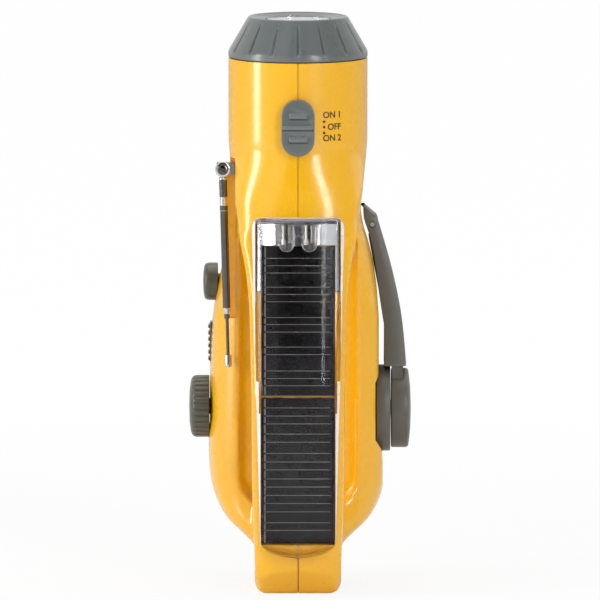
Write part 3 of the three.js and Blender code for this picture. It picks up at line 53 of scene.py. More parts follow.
# Handle: how far its front stands before the axis at its foot, tail, bend, top and blend into the head
FOOT_Z, TAIL_Z, JOINT_Z, HANDLE_TOP, BLEND_TOP = 6, 18, 76.2, 142.7, 168.0
FOOT_REACH, TAIL_REACH, JOINT_REACH, HANDLE_TOP_REACH, BLEND_REACH = 31.1, 32.5, 38.0, 28.0, 25.8
HANDLE_HALF, HANDLE_DEPTH, HANDLE_ROUND = 17.6, 12.5, 3.1
SHOULDER_DEPTH, SHOULDER_ROUND, TROUGH_TOP = 24.0, 2.2, 133.0
CHANNEL_LOW, CHANNEL_HIGH = 102, 163
# Handle front: the solar panels and the lamp tray above them
PANEL_LOW, PANEL_HIGH, PANEL_SEAT, SEAT_DEPTH = 19.8, 132.6, 13.8, 3.4
TRAY_LENGTH, TRAY_INNER, RAIL_LENGTH = 8.7, 7.9, 17
# Crank, gears, radio controls, loudspeaker, and holes for their shafts
CRANK_Y, CRANK_Z, TRANSFER_Z = 14.0, 65.8, 86.5
TUNING_Z, BAND_Z, VOLUME_Z = 66.4, 90.8, 113.8
SHAFT_HOLE, SPEAKER_Z, GRILLE_R = 3.3, 72, 18.4
SWITCH_Z = 176.1
# Antenna pivot, and the Y and Z of the housing's screws
PIVOT_X, PIVOT_Y, PIVOT_Z = -28.2, -8.6, 158.6
SCREWS = ((7, 150), (25.5, 128.4), (24, 28.4), (-4, 16))


# Mesh helpers
def add(name, data):
    obj = bpy.data.objects.new(name, data)
    bpy.context.scene.collection.objects.link(obj)
    return obj


def mesh_object(verts, faces):
    mesh = bpy.data.meshes.new("solid")
    mesh.from_pydata([tuple((Vector(v) + SHIFT) * MM) for v in verts], [], faces)
    mesh.validate()
    mesh.update()
    bm = bmesh.new()
    bm.from_mesh(mesh)
    bmesh.ops.remove_doubles(bm, verts=bm.verts, dist=1e-7)
    bmesh.ops.recalc_face_normals(bm, faces=bm.faces)
    bm.to_mesh(mesh)
    bm.free()
    return add("solid", mesh)


def ring_faces(rings, sides, hoop=False):
    """Faces between rings of vertices, capped at both ends, or closed in a hoop."""
    faces = []
    for level in range(rings if hoop else rings - 1):
        a, b = level * sides, (level + 1) % rings * sides
        for step in range(sides):
            nxt = (step + 1) % sides
            faces.append((a + step, a + nxt, b + nxt, b + step))
    if not hoop:
        faces += [tuple(reversed(range(sides))), tuple(range((rings - 1) * sides, rings * sides))]
    return faces


def loft(rings):
    verts = [p for ring in rings for p in ring]
    return mesh_object(verts, ring_faces(len(rings), len(rings[0])))


def circle(radius, sides):
    angles = [2 * pi * s / sides for s in range(sides)]
    return [(radius * cos(angle), radius * sin(angle)) for angle in angles]


def lathe(points, sides, axis="z", centre=(0, 0, 0), closed=False):
    """points are (radius, place) and start and end on the axis unless closed."""
    verts, faces, index = [], [], []
    for radius, place in points:
        if radius == 0:
            index.append([len(verts)] * sides)
            ring = [(0.0, 0.0)]
        else:
            index.append(list(range(len(verts), len(verts) + sides)))
            ring = circle(radius, sides)
        for a, b in ring:
            spot = {"x": (place, a, b), "y": (a, place, b), "z": (a, b, place)}[axis]
            verts.append([start + way for start, way in zip(centre, spot)])
    count = len(points)
    for row in range(count if closed else count - 1):
        lower, upper = index[row], index[(row + 1) % count]
        for s in range(sides):
            n = (s + 1) % sides
            face = list(dict.fromkeys((lower[s], lower[n], upper[n], upper[s])))
            if len(face) > 2:
                faces.append(face)
    return mesh_object(verts, faces)


def bar(axis, radius, start, end, first, second, sides):
    centre = {"x": (0, first, second), "y": (first, 0, second), "z": (first, second, 0)}[axis]
    return lathe([(0, start), (radius, start), (radius, end), (0, end)], sides, axis, centre)


def block(low, high):
    (x0, y0, z0), (x1, y1, z1) = low, high
    return slab([(x0, z0), (x1, z0), (x1, z1), (x0, z1)], y0, y1)


def boxes(spans):
    """One mesh of several loose boxes, each from a low to a high corner."""
    verts, faces = [], []
    for (x0, y0, z0), (x1, y1, z1) in spans:
        first = len(verts)
        for y in (y0, y1):
            verts += [(x0, y, z0), (x1, y, z0), (x1, y, z1), (x0, y, z1)]
        faces += [tuple(first + i for i in face) for face in ring_faces(2, 4)]
    return mesh_object(verts, faces)


def slab(outline, start, end, axis="y"):
    """An outline drawn out along Y or X."""
    verts = [(a, depth, b) if axis == "y" else (depth, a, b) for depth in (start, end) for a, b in outline]
    return mesh_object(verts, ring_faces(2, len(outline)))


def modify(obj, kind, **settings):
    """Adds a modifier and applies it at once."""
    mod = obj.modifiers.new(kind.lower(), kind)
    for key, value in settings.items():
        setattr(mod, key, value)
    bpy.context.view_layer.update()
    graph = bpy.context.evaluated_depsgraph_get()
    done = bpy.data.meshes.new_from_object(obj.evaluated_get(graph))
    obj.modifiers.clear()
    old, obj.data = obj.data, done
    bpy.data.meshes.remove(old)
    return obj


def discard(obj):
    bpy.data.objects.remove(obj, do_unlink=True)


def combine(base, others, operation="DIFFERENCE"):
    """Cuts or joins solids, and removes the tools."""
    for other in others:
        modify(base, "BOOLEAN", operation=operation, solver="MANIFOLD", object=other)
        discard(other)
    return base


def cut(base, *tools):
    return combine(base, tools)


def join(base, *others):
    return combine(base, others, "UNION")


def common(base, *others):
    return combine(base, others, "INTERSECT")


def copy_of(obj, name):
    return add(name, obj.data.copy())


def round_edges(obj, width, segments, angle=30):
    return modify(obj, "BEVEL", width=width * MM, segments=segments, limit_method="ANGLE",
                  angle_limit=radians(angle))


def smooth(obj, angle):
    mesh = obj.data
    bm = bmesh.new()
    bm.from_mesh(mesh)
    limit = radians(angle)
    for face in bm.faces:
        face.smooth = True
    for edge in bm.edges:
        edge.smooth = not (len(edge.link_faces) == 2 and edge.calc_face_angle(0) > limit)
    bm.to_mesh(mesh)
    bm.free()


def shifted(x, y, z):
    return Matrix.Translation((x, y, z))


def turn(obj, matrix):
    """Moves the vertices by a matrix given in millimetres from the torch axis."""
    scale = Matrix.Scale(MM, 4) @ Matrix.Translation(SHIFT)
    obj.data.transform(scale @ matrix @ scale.inverted())
    return obj


def row_at(table, place):
    """Which row of a table of (place, value) starts the span that a place lies in."""
    row = 0
    while row < len(table) - 2 and place > table[row + 1][0]:
        row += 1
    return row


def share_at(table, height):
    """The value of a table of (place, value) on a smooth curve through its rows."""
    row, last = row_at(table, height), len(table) - 1
    before, after = table[max(row - 1, 0)], table[min(row + 2, last)]
    (x0, y0), (x1, y1) = table[row], table[row + 1]
    span = x1 - x0
    t = min(max((height - x0) / span, 0), 1)
    slope_in = (y1 - before[1]) / (x1 - before[0]) * span
    slope_out = (after[1] - y0) / (after[0] - x0) * span
    return ((2 * t**3 - 3 * t**2 + 1) * y0 + (t**3 - 2 * t**2 + t) * slope_in
            + (3 * t**2 - 2 * t**3) * y1 + (t**3 - t**2) * slope_out)


def section(height, half, front, back, roundness, sides):
    """A level ring between a circle (roundness 2) and a square with round corners (4 and more)."""
    ring = []
    middle, depth, power = (back + front) / 2, (back - front) / 2, 2 / roundness
    for step in range(sides):
        angle = 2 * pi * step / sides
        c, s = cos(angle), sin(angle)
        ring.append((half * copysign(abs(c) ** power, c),
                     middle + depth * copysign(abs(s) ** power, s), height))
    return ring


def lerp(a, b, t):
    return a + (b - a) * t


def ease(a, b, place, start, end):
    """From a at start to b at end, with no corner at either."""
    t = min(max((place - start) / (end - start), 0), 1)
    return lerp(a, b, t * t * (3 - 2 * t))


# Materials
def srgb(r, g, b):
    def lin(v):
        v /= 255
        return v / 12.92 if v <= 0.04045 else ((v + 0.055) / 1.055) ** 2.4
    return (lin(r), lin(g), lin(b), 1.0)


def feed(tree, item, inputs):
    """Gives inputs of a node a value each, or a link where a socket is given."""
    for key, value in inputs.items():
        target = item.inputs[key]
        if isinstance(value, bpy.types.NodeSocket):
            tree.links.new(value, target)
        else:
            target.default_value = value
    return item


def spaced(values):
    return {key.replace("_", " "): value for key, value in values.items()}


def math_node(tree, operation, first, second):
    """One sum of two values, each a socket or a number."""
    item = feed(tree, tree.nodes.new("ShaderNodeMath"), {0: first, 1: second})
    item.operation = operation
    return item.outputs[0]


def add_node(tree, kind, **inputs):
    return feed(tree, tree.nodes.new("ShaderNode" + kind), spaced(inputs))


def mix_shaders(tree, share, first, second, output):
    mix = feed(tree, tree.nodes.new("ShaderNodeMixShader"), {0: share, 1: first.outputs[0], 2: second.outputs[0]})
    tree.links.new(mix.outputs[0], tree.nodes[output].inputs["Surface"])


class Look:
    """A small helper round one Principled material."""

    def __init__(self, name, **values):
        self.mat = bpy.data.materials.new(name)
        self.mat.use_nodes = True
        self.tree = self.mat.node_tree
        self.shader = self.tree.nodes["Principled BSDF"]
        feed(self.tree, self.shader, spaced(values))
        self.place = self.node("TexCoord").outputs["Object"]

    def node(self, kind, **inputs):
        return add_node(self.tree, kind, **inputs)

    def noise(self, scale, detail):
        item = self.node("TexNoise", Vector=self.place, Scale=scale, Detail=detail, Roughness=0.55)
        return item.outputs["Fac"]

    def ramp(self, value, stops):
        item = self.node("ValToRGB", Fac=value)
        for element, stop in zip(item.color_ramp.elements, (stops[0], stops[-1])):
            element.position, element.color = stop
        for place, colour in stops[1:-1]:
            item.color_ramp.elements.new(place).color = colour
        return item.outputs["Color"]

    def span(self, value, low, high, from_low=0.3, from_high=0.7):
        """Maps a value's range, as a rule the middle of a noise, to another."""
        item = self.node("MapRange", Value=value, From_Min=from_low, From_Max=from_high,
                         To_Min=low, To_Max=high)
        return item.outputs["Result"]

    def wire(self, value, socket):
        self.tree.links.new(value, self.shader.inputs[socket])

    def finish(self, colour, rough, grain, height):
        """Wires up the colour, the roughness and a grain, with its height in millimetres."""
        self.wire(colour, "Base Color")
        self.wire(rough, "Roughness")
        bump = self.node("Bump", Height=grain, Strength=1.0, Distance=height * MM)
        self.wire(bump.outputs["Normal"], "Normal")
        return self.mat


def scaled(colour, share, lift=0.0):
    return tuple(min(c * share + lift, 1) for c in colour[:3]) + (1,)


def plastic(name, colour, rough, grain=0.02, spread=0.04, scale=900, edge=0.0, **values):
    """Moulded plastic: slight colour drift, fine grain, rubbed corners."""
    look = Look(name, **values)
    base = srgb(*colour)
    tone = look.ramp(look.noise(45, 4), [(0.3, scaled(base, 1 - spread)), (0.7, scaled(base, 1 + spread))])
    if edge:
        wear = look.node("NewGeometry").outputs["Pointiness"]
        mask = look.span(wear, 0, edge, 0.505, 0.56)
        mix = look.node("Mix")
        mix.data_type = "RGBA"
        feed(look.tree, mix, {0: mask, 6: tone, 7: scaled(base, 1.9, 0.02)})
        tone = mix.outputs[2]
    return look.finish(tone, look.span(look.noise(120, 5), rough - 0.05, rough + 0.07),
                       look.noise(scale, 2), grain)


def metal(name, colour, rough, brushed=False):
    look = Look(name, Metallic=1.0)
    base = srgb(*colour)
    return look.finish(look.ramp(look.noise(260, 4), [(0.3, scaled(base, 0.9)), (0.7, base)]),
                       look.span(look.noise(700, 3), rough, rough + 0.12),
                       look.noise(2200 if brushed else 500, 2), 0.01)


def clear(name, tint, rough, ior=1.49):
    look = Look(name, Transmission_Weight=1.0, IOR=ior)
    base = srgb(*tint)
    return look.finish(look.ramp(look.noise(60, 2), [(0.3, scaled(base, 0.985)), (0.7, base)]),
                       look.span(look.noise(300, 4), rough * 0.6, rough * 1.6), look.noise(160, 2), 0.004)


YELLOW = plastic("yellow_moulding", (246, 184, 18), 0.26, grain=0.001, spread=0.012, scale=1500,
                 Coat_Weight=0.6, Coat_Roughness=0.1)
GREY = plastic("grey_moulding", (95, 101, 100), 0.3, grain=0.012, edge=0.3,
               Coat_Weight=0.2, Coat_Roughness=0.15)
CRANK = plastic("crank_moulding", (84, 83, 77), 0.42, grain=0.02, edge=0.3)
KNOB = plastic("knob_moulding", (76, 75, 64), 0.3, grain=0.012, edge=0.3)
BLACK = plastic("black_moulding", (30, 30, 31), 0.5)
CREAM = plastic("gear_moulding", (226, 219, 198), 0.5, grain=0.01)
CHROME = metal("chrome", (104, 101, 98), 0.1)
BRIGHT = metal("bright_chrome", (214, 213, 211), 0.12)
STEEL = metal("steel", (176, 176, 174), 0.28, brushed=True)
BRASS = metal("brass", (196, 152, 74), 0.25)
COPPER = metal("copper", (186, 104, 60), 0.3, brushed=True)
SILVERED = metal("silvering", (226, 227, 230), 0.16)
RUBBER = plastic("seal_rubber", (28, 28, 28), 0.75)
BOARD = plastic("board_lacquer", (30, 96, 52), 0.35, spread=0.12)
FERRITE = plastic("ferrite", (44, 42, 40), 0.7, spread=0.15)
SLEEVE = plastic("cell_sleeve", (44, 128, 82), 0.3)
COVER = clear("clear_cover", (251, 251, 252), 0.05, 1.17)
LENS = clear("front_lens", (240, 238, 250), 0.06)
LAMP = clear("lamp_resin", (250, 246, 240), 0.05)
INK = plastic("printing", (58, 34, 18), 0.6, grain=0.001)


def painted_wall_look():
    """The cover's side walls, painted with what shows in them: a painted silver reflection of the lamp tray
    beside it, and below it a painted warm orange of the housing seen through them.
    """
    look = Look("cover_wall_painted_reflection", IOR=1.49, Roughness=0.2)
    height = look.node("SeparateXYZ", Vector=look.place).outputs["Z"]
    drift = math_node(look.tree, "MULTIPLY", look.noise(400, 3), 0.0008)
    level = look.span(math_node(look.tree, "ADD", height, drift), 0, 1, 0.1158, 0.1164)
    # Painted reflection: silver above the tray's lower edge, the housing's warm orange below it
    look.wire(look.ramp(level, [(0, srgb(226, 158, 104)), (1, srgb(240, 240, 243))]), "Base Color")
    look.wire(look.span(level, 0.6, 0.3, 0, 1), "Transmission Weight")
    look.wire(look.span(look.noise(300, 4), 0.12, 0.26), "Roughness")
    return look.mat


COVER_WALL_REFLECTION = painted_wall_look()
# The rim round the cover's face: whiter and less clear, a painted highlight along its edge
COVER_EDGE_HIGHLIGHT = clear("cover_edge_painted_highlight", (255, 249, 245), 0.3)
COVER_EDGE_HIGHLIGHT.node_tree.nodes["Principled BSDF"].inputs["Transmission Weight"].default_value = 0.15


def solar_look():
    """Dark cells under a lacquer: slow drift from warm to cold black, and a slightly uneven gloss."""
    look = Look("solar_cells", Specular_IOR_Level=0.25, Coat_Weight=0.08, Coat_Roughness=0.08)
    tones = [(0.35, srgb(15, 13, 12)), (0.5, srgb(18, 16, 17)), (0.65, srgb(22, 21, 25))]
    return look.finish(look.ramp(look.noise(38, 2), tones), look.span(look.noise(200, 4), 0.24, 0.32),
                       look.noise(90, 2), 0.0004)


SOLAR = solar_look()
CONTACT = plastic("contact_ink", (136, 133, 128), 0.5, grain=0.001)


def piece(obj, name, material, node=None, body="housing", angle=35):
    """Names and paints a finished piece, and hands it to its body and the CAD node that it stands for."""
    obj.name = name
    obj.data.materials.clear()
    obj.data.materials.append(material)
    smooth(obj, angle)
    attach(obj, body)
    if node:
        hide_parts(node)
    return obj


# Housing: tables of (share of the body's height or the arm's length, share of the measure)
WIDTHS = [(0.08, 0.42), (0.104, 0.482), (0.138, 0.64), (0.168, 0.79), (0.211, 0.905), (0.258, 0.97),
          (0.311, 0.995), (0.378, 1), (0.545, 0.982), (0.671, 0.952), (0.768, 0.878), (0.858, 0.792),
          (0.915, 0.722), (1, 0.67)]
FRONTS = [(0.08, 1.9), (0.16, 1.35), (0.233, 1.02), (0.4, 1), (0.733, 1), (0.82, 1.25), (0.88, 1.72),
          (0.933, 2.14), (1, 2.2)]
BACKS = [(0.08, 0.52), (0.16, 0.7), (0.233, 0.84), (0.333, 0.952), (0.467, 1), (0.6, 0.976),
         (0.733, 0.87), (0.833, 0.742), (0.933, 0.58), (1, 0.53)]
HANDLE_WIDTHS = [(0.04, 0.926), (0.12, 0.935), (0.207, 0.972), (0.502, 1), (0.702, 1.034), (0.782, 1.085),
                 (0.835, 1.148), (0.888, 1.244), (0.945, 1.305), (1.01, 1.385), (1.065, 1.43), (1.12, 1.466)]
ARM_INNER = [(0.222, 0), (0.41, 0), (0.463, 0.075), (0.593, 0.27), (0.724, 0.44), (0.85, 0.69),
             (0.94, 0.975), (1, 1)]
ARM_OUTER = [(0.222, 0), (0.37, 0.09), (0.506, 0.22), (0.704, 0.53), (0.94, 1), (1, 1.05)]
# The crank arm's length, and where its inner and outer face lie at the hub and at the end
ARM_REACH, ARM_IN, ARM_OUT = 77.3, (32.4, 24.6), (40.7, 29.8)


def body_solid(inset, levels, sides):
    rings = []
    for level in range(levels + 1):
        share = lerp(WIDTHS[0][0], 1, level / levels)
        z = BODY_TOP * share
        rings.append(section(z, BODY_HALF * share_at(WIDTHS, share) - inset,
                             inset - BODY_FRONT * share_at(FRONTS, share),
                             BODY_BACK * share_at(BACKS, share) - inset,
                             ease(BODY_ROUND, 2, z, 112, BODY_TOP), sides))
    return loft(rings)


def handle_reach(height):
    rows = [(FOOT_Z, FOOT_REACH), (TAIL_Z, TAIL_REACH), (JOINT_Z, JOINT_REACH),
            (HANDLE_TOP, HANDLE_TOP_REACH), (BLEND_TOP, BLEND_REACH)]
    row = row_at(rows, height)
    (z0, r0), (z1, r1) = rows[row], rows[row + 1]
    return lerp(r0, r1, (height - z0) / (z1 - z0))


def handle_solid(grow, levels, sides):
    """The handle's section is thin and square below, and deepens and rounds into the head above."""
    heights = {FOOT_Z, TAIL_Z, JOINT_Z, HANDLE_TOP, BODY_TOP, BLEND_TOP, BLEND_TOP + 6}
    heights |= {lerp(FOOT_Z, BLEND_TOP, n / levels) for n in range(1, levels)}
    rings = []
    for z in sorted(heights):
        reach = handle_reach(z)
        depth = ease(HANDLE_DEPTH, SHOULDER_DEPTH, z, TROUGH_TOP, HANDLE_TOP)
        depth = ease(depth, 2 * BLEND_REACH, z, HANDLE_TOP, BLEND_TOP)
        roundness = ease(HANDLE_ROUND, SHOULDER_ROUND, z, TROUGH_TOP - 20, HANDLE_TOP)
        roundness = ease(roundness, 2, z, HANDLE_TOP, BLEND_TOP) - ease(0.8, 0, z, FOOT_Z, TAIL_Z)
        half = HANDLE_HALF * share_at(HANDLE_WIDTHS, z / BODY_TOP)
        if z > BLEND_TOP:
            half, reach, depth = BLEND_REACH - 1.2, BLEND_REACH - 1.2, 2 * BLEND_REACH - 2.4
        rings.append(section(z, half + grow, -reach - grow, depth - reach + grow, roundness, sides))
    return loft(rings)


def tail_slant(inset=0):
    """What the tail's slanted front leaves out."""
    outline = [(-33.5, -2), (inset - 22.5, -2), (inset - 22.5, 0), (inset - 33.5, 12 + inset)]
    return slab(outline, -34, 34, "x")


def tail_solid(inset, sides):
    rows = [(inset, 2.6), (max(1.1, inset * 1.1), 0.7), (max(2.8, inset * 1.2), 0), (32, 0)]
    tail = loft([section(z, 16.3 - tuck - inset, inset - 31.5 + tuck / 2, 24 - tuck / 2 - inset, 4.2, sides)
                         for z, tuck in rows])
    return cut(tail, tail_slant(inset))


def barrel_solid(inset, sides):
    waist, head, extra = WAIST_R - inset, HEAD_R - inset, 2 if inset else 6
    return lathe([
        (0, BARREL_LOW + inset), (waist * 0.6, BARREL_LOW + 0.1 * waist + inset),
        (waist * 0.88, (BARREL_LOW + WAIST_Z) / 2 + inset), (waist, WAIST_Z + inset),
        (lerp(waist, head, 0.3), lerp(WAIST_Z, TAPER_TOP, 0.35)),
        (lerp(waist, head, 0.75), lerp(WAIST_Z, TAPER_TOP, 0.7)),
        (head, TAPER_TOP), (head, HEAD_TOP + extra), (0, HEAD_TOP + extra)], sides)


def curve_points(start, control, end, steps=10):
    """Points of a corner's curve after its start."""
    shares = [step / steps for step in range(1, steps + 1)]
    return [tuple(lerp(lerp(s, c, t), lerp(c, e, t), t) for s, c, e in zip(start, control, end)) for t in shares]


def trough(grow):
    """The room for the fingers behind the handle."""
    side, low, high, bend = 22.2 + grow, 27 - grow, TROUGH_TOP + grow, 17
    right = [(side, low + bend)] + curve_points((side, low + bend), (side, low + bend / 3), (side - bend, low))
    outline = [(bend - side, low)]
    outline += curve_points((bend - side, low), (-side, low + bend / 3), (-side, low + bend))
    outline += [(-side, high), (side, high)] + right
    return slab(outline, -43, grow - 5.8)


def crank_flank(inset):
    """The flat flank that the crank turns beside."""
    wide, narrow = 32 - inset, 30.4 - inset
    edge = [(min(narrow, lerp(*ARM_IN, way) - 2 * GAP - inset), CRANK_Z + reach * ARM_REACH)
            for reach, way in ARM_INNER]
    outline = [(wide, -2), (FLANK, -2), (FLANK, edge[-1][1])] + edge[::-1]
    outline += [(narrow, CRANK_Z), (wide, CRANK_Z - 19.4)]
    return slab(outline, -43, 45)


def channel(grow):
    """The step in the left flank that the antenna lies in."""
    return block((-FLANK, -JOINT_REACH, CHANNEL_LOW - grow), (grow - 23.5, grow - 3, CHANNEL_HIGH + grow))


def seats(grow, sides=72):
    """What is cut out of the body for the crank, the knobs, the band switch and the antenna."""
    return [
        crank_flank(grow),
        bar("x", 19.4 + grow, 29.1 - grow, FLANK, CRANK_Y, CRANK_Z, sides),
        bar("x", 12.0 + grow, -FLANK, grow - 33.2, CRANK_Y, TUNING_Z, sides),
        bar("x", 7.4 + grow, -FLANK, grow - 29.9, CRANK_Y, VOLUME_Z, sides),
        block((-FLANK, CRANK_Y - 3.3 - grow, BAND_Z - 8.1 - grow),
              (grow - 31.4, CRANK_Y + 3.3 + grow, BAND_Z + 11.1 + grow)),
        channel(grow),
    ]


def stretch(height, reach):
    """The place of the handle's flat front from its bend to a height: Z along it and Y into it."""
    angle = atan2(JOINT_REACH - reach, abs(height - JOINT_Z))
    lean = Matrix.Rotation(-angle if height > JOINT_Z else angle, 4, "X")
    return shifted(0, -JOINT_REACH, JOINT_Z) @ lean


UPPER, LOWER = stretch(HANDLE_TOP, HANDLE_TOP_REACH), stretch(TAIL_Z, TAIL_REACH)
UPPER_LENGTH, LOWER_LENGTH = PANEL_HIGH - JOINT_Z, JOINT_Z - PANEL_LOW
TRAY_START = UPPER_LENGTH + GAP


def on_stretch(matrix, low, high):
    return turn(block(low, high), matrix)


def housing():
    """Both halves as one: a smooth skin over the joined forms, then seats, hollow and openings."""
    flank, *others = seats(0)
    outer = cut(body_solid(0, 90, 128), flank, trough(0))
    mast_rib = slab([(-27.2, 112), (-27.2, 156.5), (-25.4, 160), (-20, 161), (-20, 112)], -7, 5)
    join(outer, barrel_solid(0, 128), handle_solid(0, 70, 96), tail_solid(0, 96), mast_rib)
    cut(outer, tail_slant())
    modify(outer, "REMESH", mode="VOXEL", voxel_size=0.9 * MM)
    modify(outer, "SMOOTH", factor=0.5, iterations=6)
    modify(outer, "REMESH", mode="VOXEL", voxel_size=0.62 * MM)
    modify(outer, "SMOOTH", factor=0.5, iterations=10)
    low = min(v.co.z for v in outer.data.vertices)
    for vertex in outer.data.vertices:
        vertex.co.z -= low
    top = slab([(-30, HEAD_TOP), (30, HEAD_TOP), (30, 210), (-30, 210)], -30, 30)
    cut(outer, top, *others)
    inner = cut(body_solid(WALL, 24, 40), *seats(WALL, 32), trough(WALL))
    rings = []
    for z in (TAIL_Z, 49.5, 81, 112.5, 144):
        reach = handle_reach(z)
        rings.append(section(z, HANDLE_HALF - WALL, 5.2 - reach, HANDLE_DEPTH - WALL - reach, HANDLE_ROUND, 24))
    join(inner, cut(barrel_solid(WALL, 48), channel(WALL)), loft(rings), tail_solid(WALL, 32))
    # The hollow, seats of the panels and the tray, and openings for grille, switches, knobs, crank and screws
    cut(outer, inner,
        on_stretch(UPPER, (-PANEL_SEAT, -10, 0), (PANEL_SEAT, SEAT_DEPTH, TRAY_START)),
        on_stretch(LOWER, (-PANEL_SEAT, -10, -LOWER_LENGTH - GAP), (PANEL_SEAT, SEAT_DEPTH, 2)),
        on_stretch(UPPER, (-15.4, -10, TRAY_START - (RAIL_LENGTH + GAP)),
                   (15.4, SEAT_DEPTH, TRAY_START + (TRAY_LENGTH + GAP))),
        bar("y", 18.7, 21, 45, 0, SPEAKER_Z, 72),
        block((-2.3, -28.1, 170.6), (2.3, -21.3, 181.6)),
        block((-BODY_HALF, 12.5, BAND_Z - 2.7), (-26.6, 15.5, BAND_Z + 5.7)),
        bar("x", SHAFT_HOLE, -BODY_HALF, -16.9, CRANK_Y, TUNING_Z, 24),
        bar("x", SHAFT_HOLE, -BODY_HALF, -16.9, CRANK_Y, VOLUME_Z, 24),
        bar("x", SHAFT_HOLE, 27, BODY_HALF, CRANK_Y, CRANK_Z, 32),
        *[bar("x", 2.9, -FLANK, -7, y, z, 32) for y, z in SCREWS])
    return outer


def inside_parts():
    """The right half's posts for the gear plate, and its bosses for the bush and the axle."""
    parts = [bar("x", 2.6, 10.7, 26, y, z, 24)
             for y, z in ((-1.7, 89.1), (29.7, 89.1), (CRANK_Y, 44.8), (CRANK_Y, 118.4))]
    boss = bar("x", 7, 23.7, 28.6, CRANK_Y, CRANK_Z, 32)
    parts.append(cut(boss, bar("x", 5.3, 20, 27.9, CRANK_Y, CRANK_Z, 32),
                     bar("x", SHAFT_HOLE, 20, 40, CRANK_Y, CRANK_Z, 24)))
    parts.append(cut(bar("x", 3.4, 23.6, 29, CRANK_Y, TRANSFER_Z, 24),
                     bar("x", 1.6, 19, 27, CRANK_Y, TRANSFER_Z, 16)))
    return parts


def slice_across(low, high):
    return block((low, -BEYOND, BELOW), (high, BEYOND, ABOVE))


def seam_tongue(whole):
    """A low ridge on one half that closes the joint behind its groove."""
    sheet = common(copy_of(whole, "sheet"), slice_across(-0.6, 0.6))
    tongue = copy_of(sheet, "tongue")
    shifts = [turn(copy_of(sheet, "shift"), shifted(0, y, z))
              for y, z in ((0.7, 0), (-0.7, 0), (0, 0.25), (0, -0.7))]
    common(tongue, *shifts, slice_across(-0.5, 0.14))
    discard(sheet)
    return tongue


whole = housing()
for name, low, high in (("left", -0.15, BEYOND), ("right", -BEYOND, 0.15)):
    half = copy_of(whole, name)
    cut(half, slice_across(low, high))
    cut(half, block((-0.32, -BEYOND, BELOW), (0.32, -20, 17)))
    join(half, *(inside_parts() if name == "right" else [seam_tongue(whole)]))
    piece(half, "housing_" + name, YELLOW, name + "_housing", angle=38)
discard(whole)


# Head
CONE_LOW, CONE_HIGH = 203.7, 214.8
NOTCHES, NOTCH_STEPS, NOTCH_START = 16, 28, -0.12


def bezel():
    """Lathed ring whose cone has tapered notches with a slight crown between them."""
    profile = [(21, 193.8), (23.3, 193.8), (23.3, 200.2), (25.8, 200.3), (26.1, 200.6), (26.1, 202.3),
               (26.08, 202.8), (25.95, 203.3)]
    profile += [(lerp(25.7, 19.0, t / 18), lerp(CONE_LOW, CONE_HIGH, t / 18)) for t in range(19)]
    profile += [(18.7, 215.3), (18.2, 215.5), (17.8, 215.4), (17.4, 215.2), (15.8, 214.85), (12.6, 214.6),
                (12.2, 214.4), (12.2, 213.35), (14.8, 213.35), (14.8, 207.9), (17.4, 207.9), (21, 203.0)]
    sides, verts = NOTCHES * NOTCH_STEPS, []
    for radius, z in profile:
        t = (z - CONE_LOW) / (CONE_HIGH - CONE_LOW)
        for s in range(sides):
            angle = 2 * pi * s / sides - pi / 2
            r = radius
            if radius > 18.9 and NOTCH_START < t <= 1:
                phase = (s % NOTCH_STEPS) / NOTCH_STEPS
                away = min(phase, 1 - phase) * 2 * pi / NOTCHES * radius
                width = lerp(0.8, 0.3, max(t, 0))
                notch = max(0.0, 1 - away / width) ** 0.8
                crown = 0.12 * sin(pi * phase) * (1 - t)
                fade = min(1.0, (t - NOTCH_START) / 0.06) * min(1.0, (1 - t) / 0.25)
                r = radius - 0.28 * fade * (1 - t) + crown * fade - 0.85 * notch * fade * lerp(1, 0.5, t)
            verts.append((r * cos(angle), r * sin(angle), z))
    return mesh_object(verts, ring_faces(len(profile), sides, hoop=True))


piece(bezel(), "bezel_ring", GREY, "head_bezel", angle=32)

lens = lathe([(0, 210.05), (14.3, 210.05), (14.5, 210.25), (14.5, 211.75), (14.3, 211.95),
              (11.9, 211.95), (11.9, 214.3), (11.7, 214.5), (6, 214.54), (0, 214.55)], 96)
piece(lens, "lens_disc", LENS, "front_lens")

bowl = [(4.4 + (12.2 - 4.4) * sqrt(n / 24), 191.75 + n / 24 * 16.4) for n in range(25)]
shell = [(r + 1.2, z) for r, z in bowl] + [(14.5, 208.15), (14.5, 209.75), (12.2, 209.75)] + bowl[::-1]
piece(lathe(shell, 96, closed=True), "reflector_bowl", SILVERED, "main_reflector")
bends = [a * pi / 20 for a in range(10)]
dome = [(2.5 * cos(bend), 195 + 2.5 * sin(bend)) for bend in bends]
lamp = lathe([(0, 191.4), (2.8, 191.4), (2.8, 192.1), (2.5, 192.2)] + dome + [(0, 197.5)], 32)
piece(lamp, "lamp_dome", LAMP, "main_lamp")


def light_switch():
    """Stadium pad on the round head, with two short bars and a step right across."""
    def stadium(radius, half):
        top = [(radius * cos(a), half + radius * sin(a)) for a in [pi * n / 20 for n in range(21)]]
        return top + [(-x, -z) for x, z in top]
    pad = slab(stadium(6.2, 4.45), -29.2, -20)
    cut(pad, bar("z", HEAD_R + GAP, -20, 20, 0, 0, 128))
    round_edges(pad, 0.9, 4)
    bars = [block((-2, -27.9, -3), (2, -22.9, 3))]
    for z, width, height in ((0.2, 11.6, 1.7), (4.6, 6.8, 2.2), (-4.2, 6.8, 2.2)):
        low = z - height / 2
        cut(pad, block((-width / 2, -31, low - 0.45), (width / 2, -28.7, low + 0.3)))
        strip = block((-width / 2, -29.9, low), (width / 2, -28.3, low + height))
        bars.append(round_edges(strip, 0.45, 3))
    join(pad, *bars)
    return turn(pad, shifted(0, 0, SWITCH_Z))


piece(light_switch(), "light_switch_pad", GREY, "light_switch_button", "light_switch", angle=30)


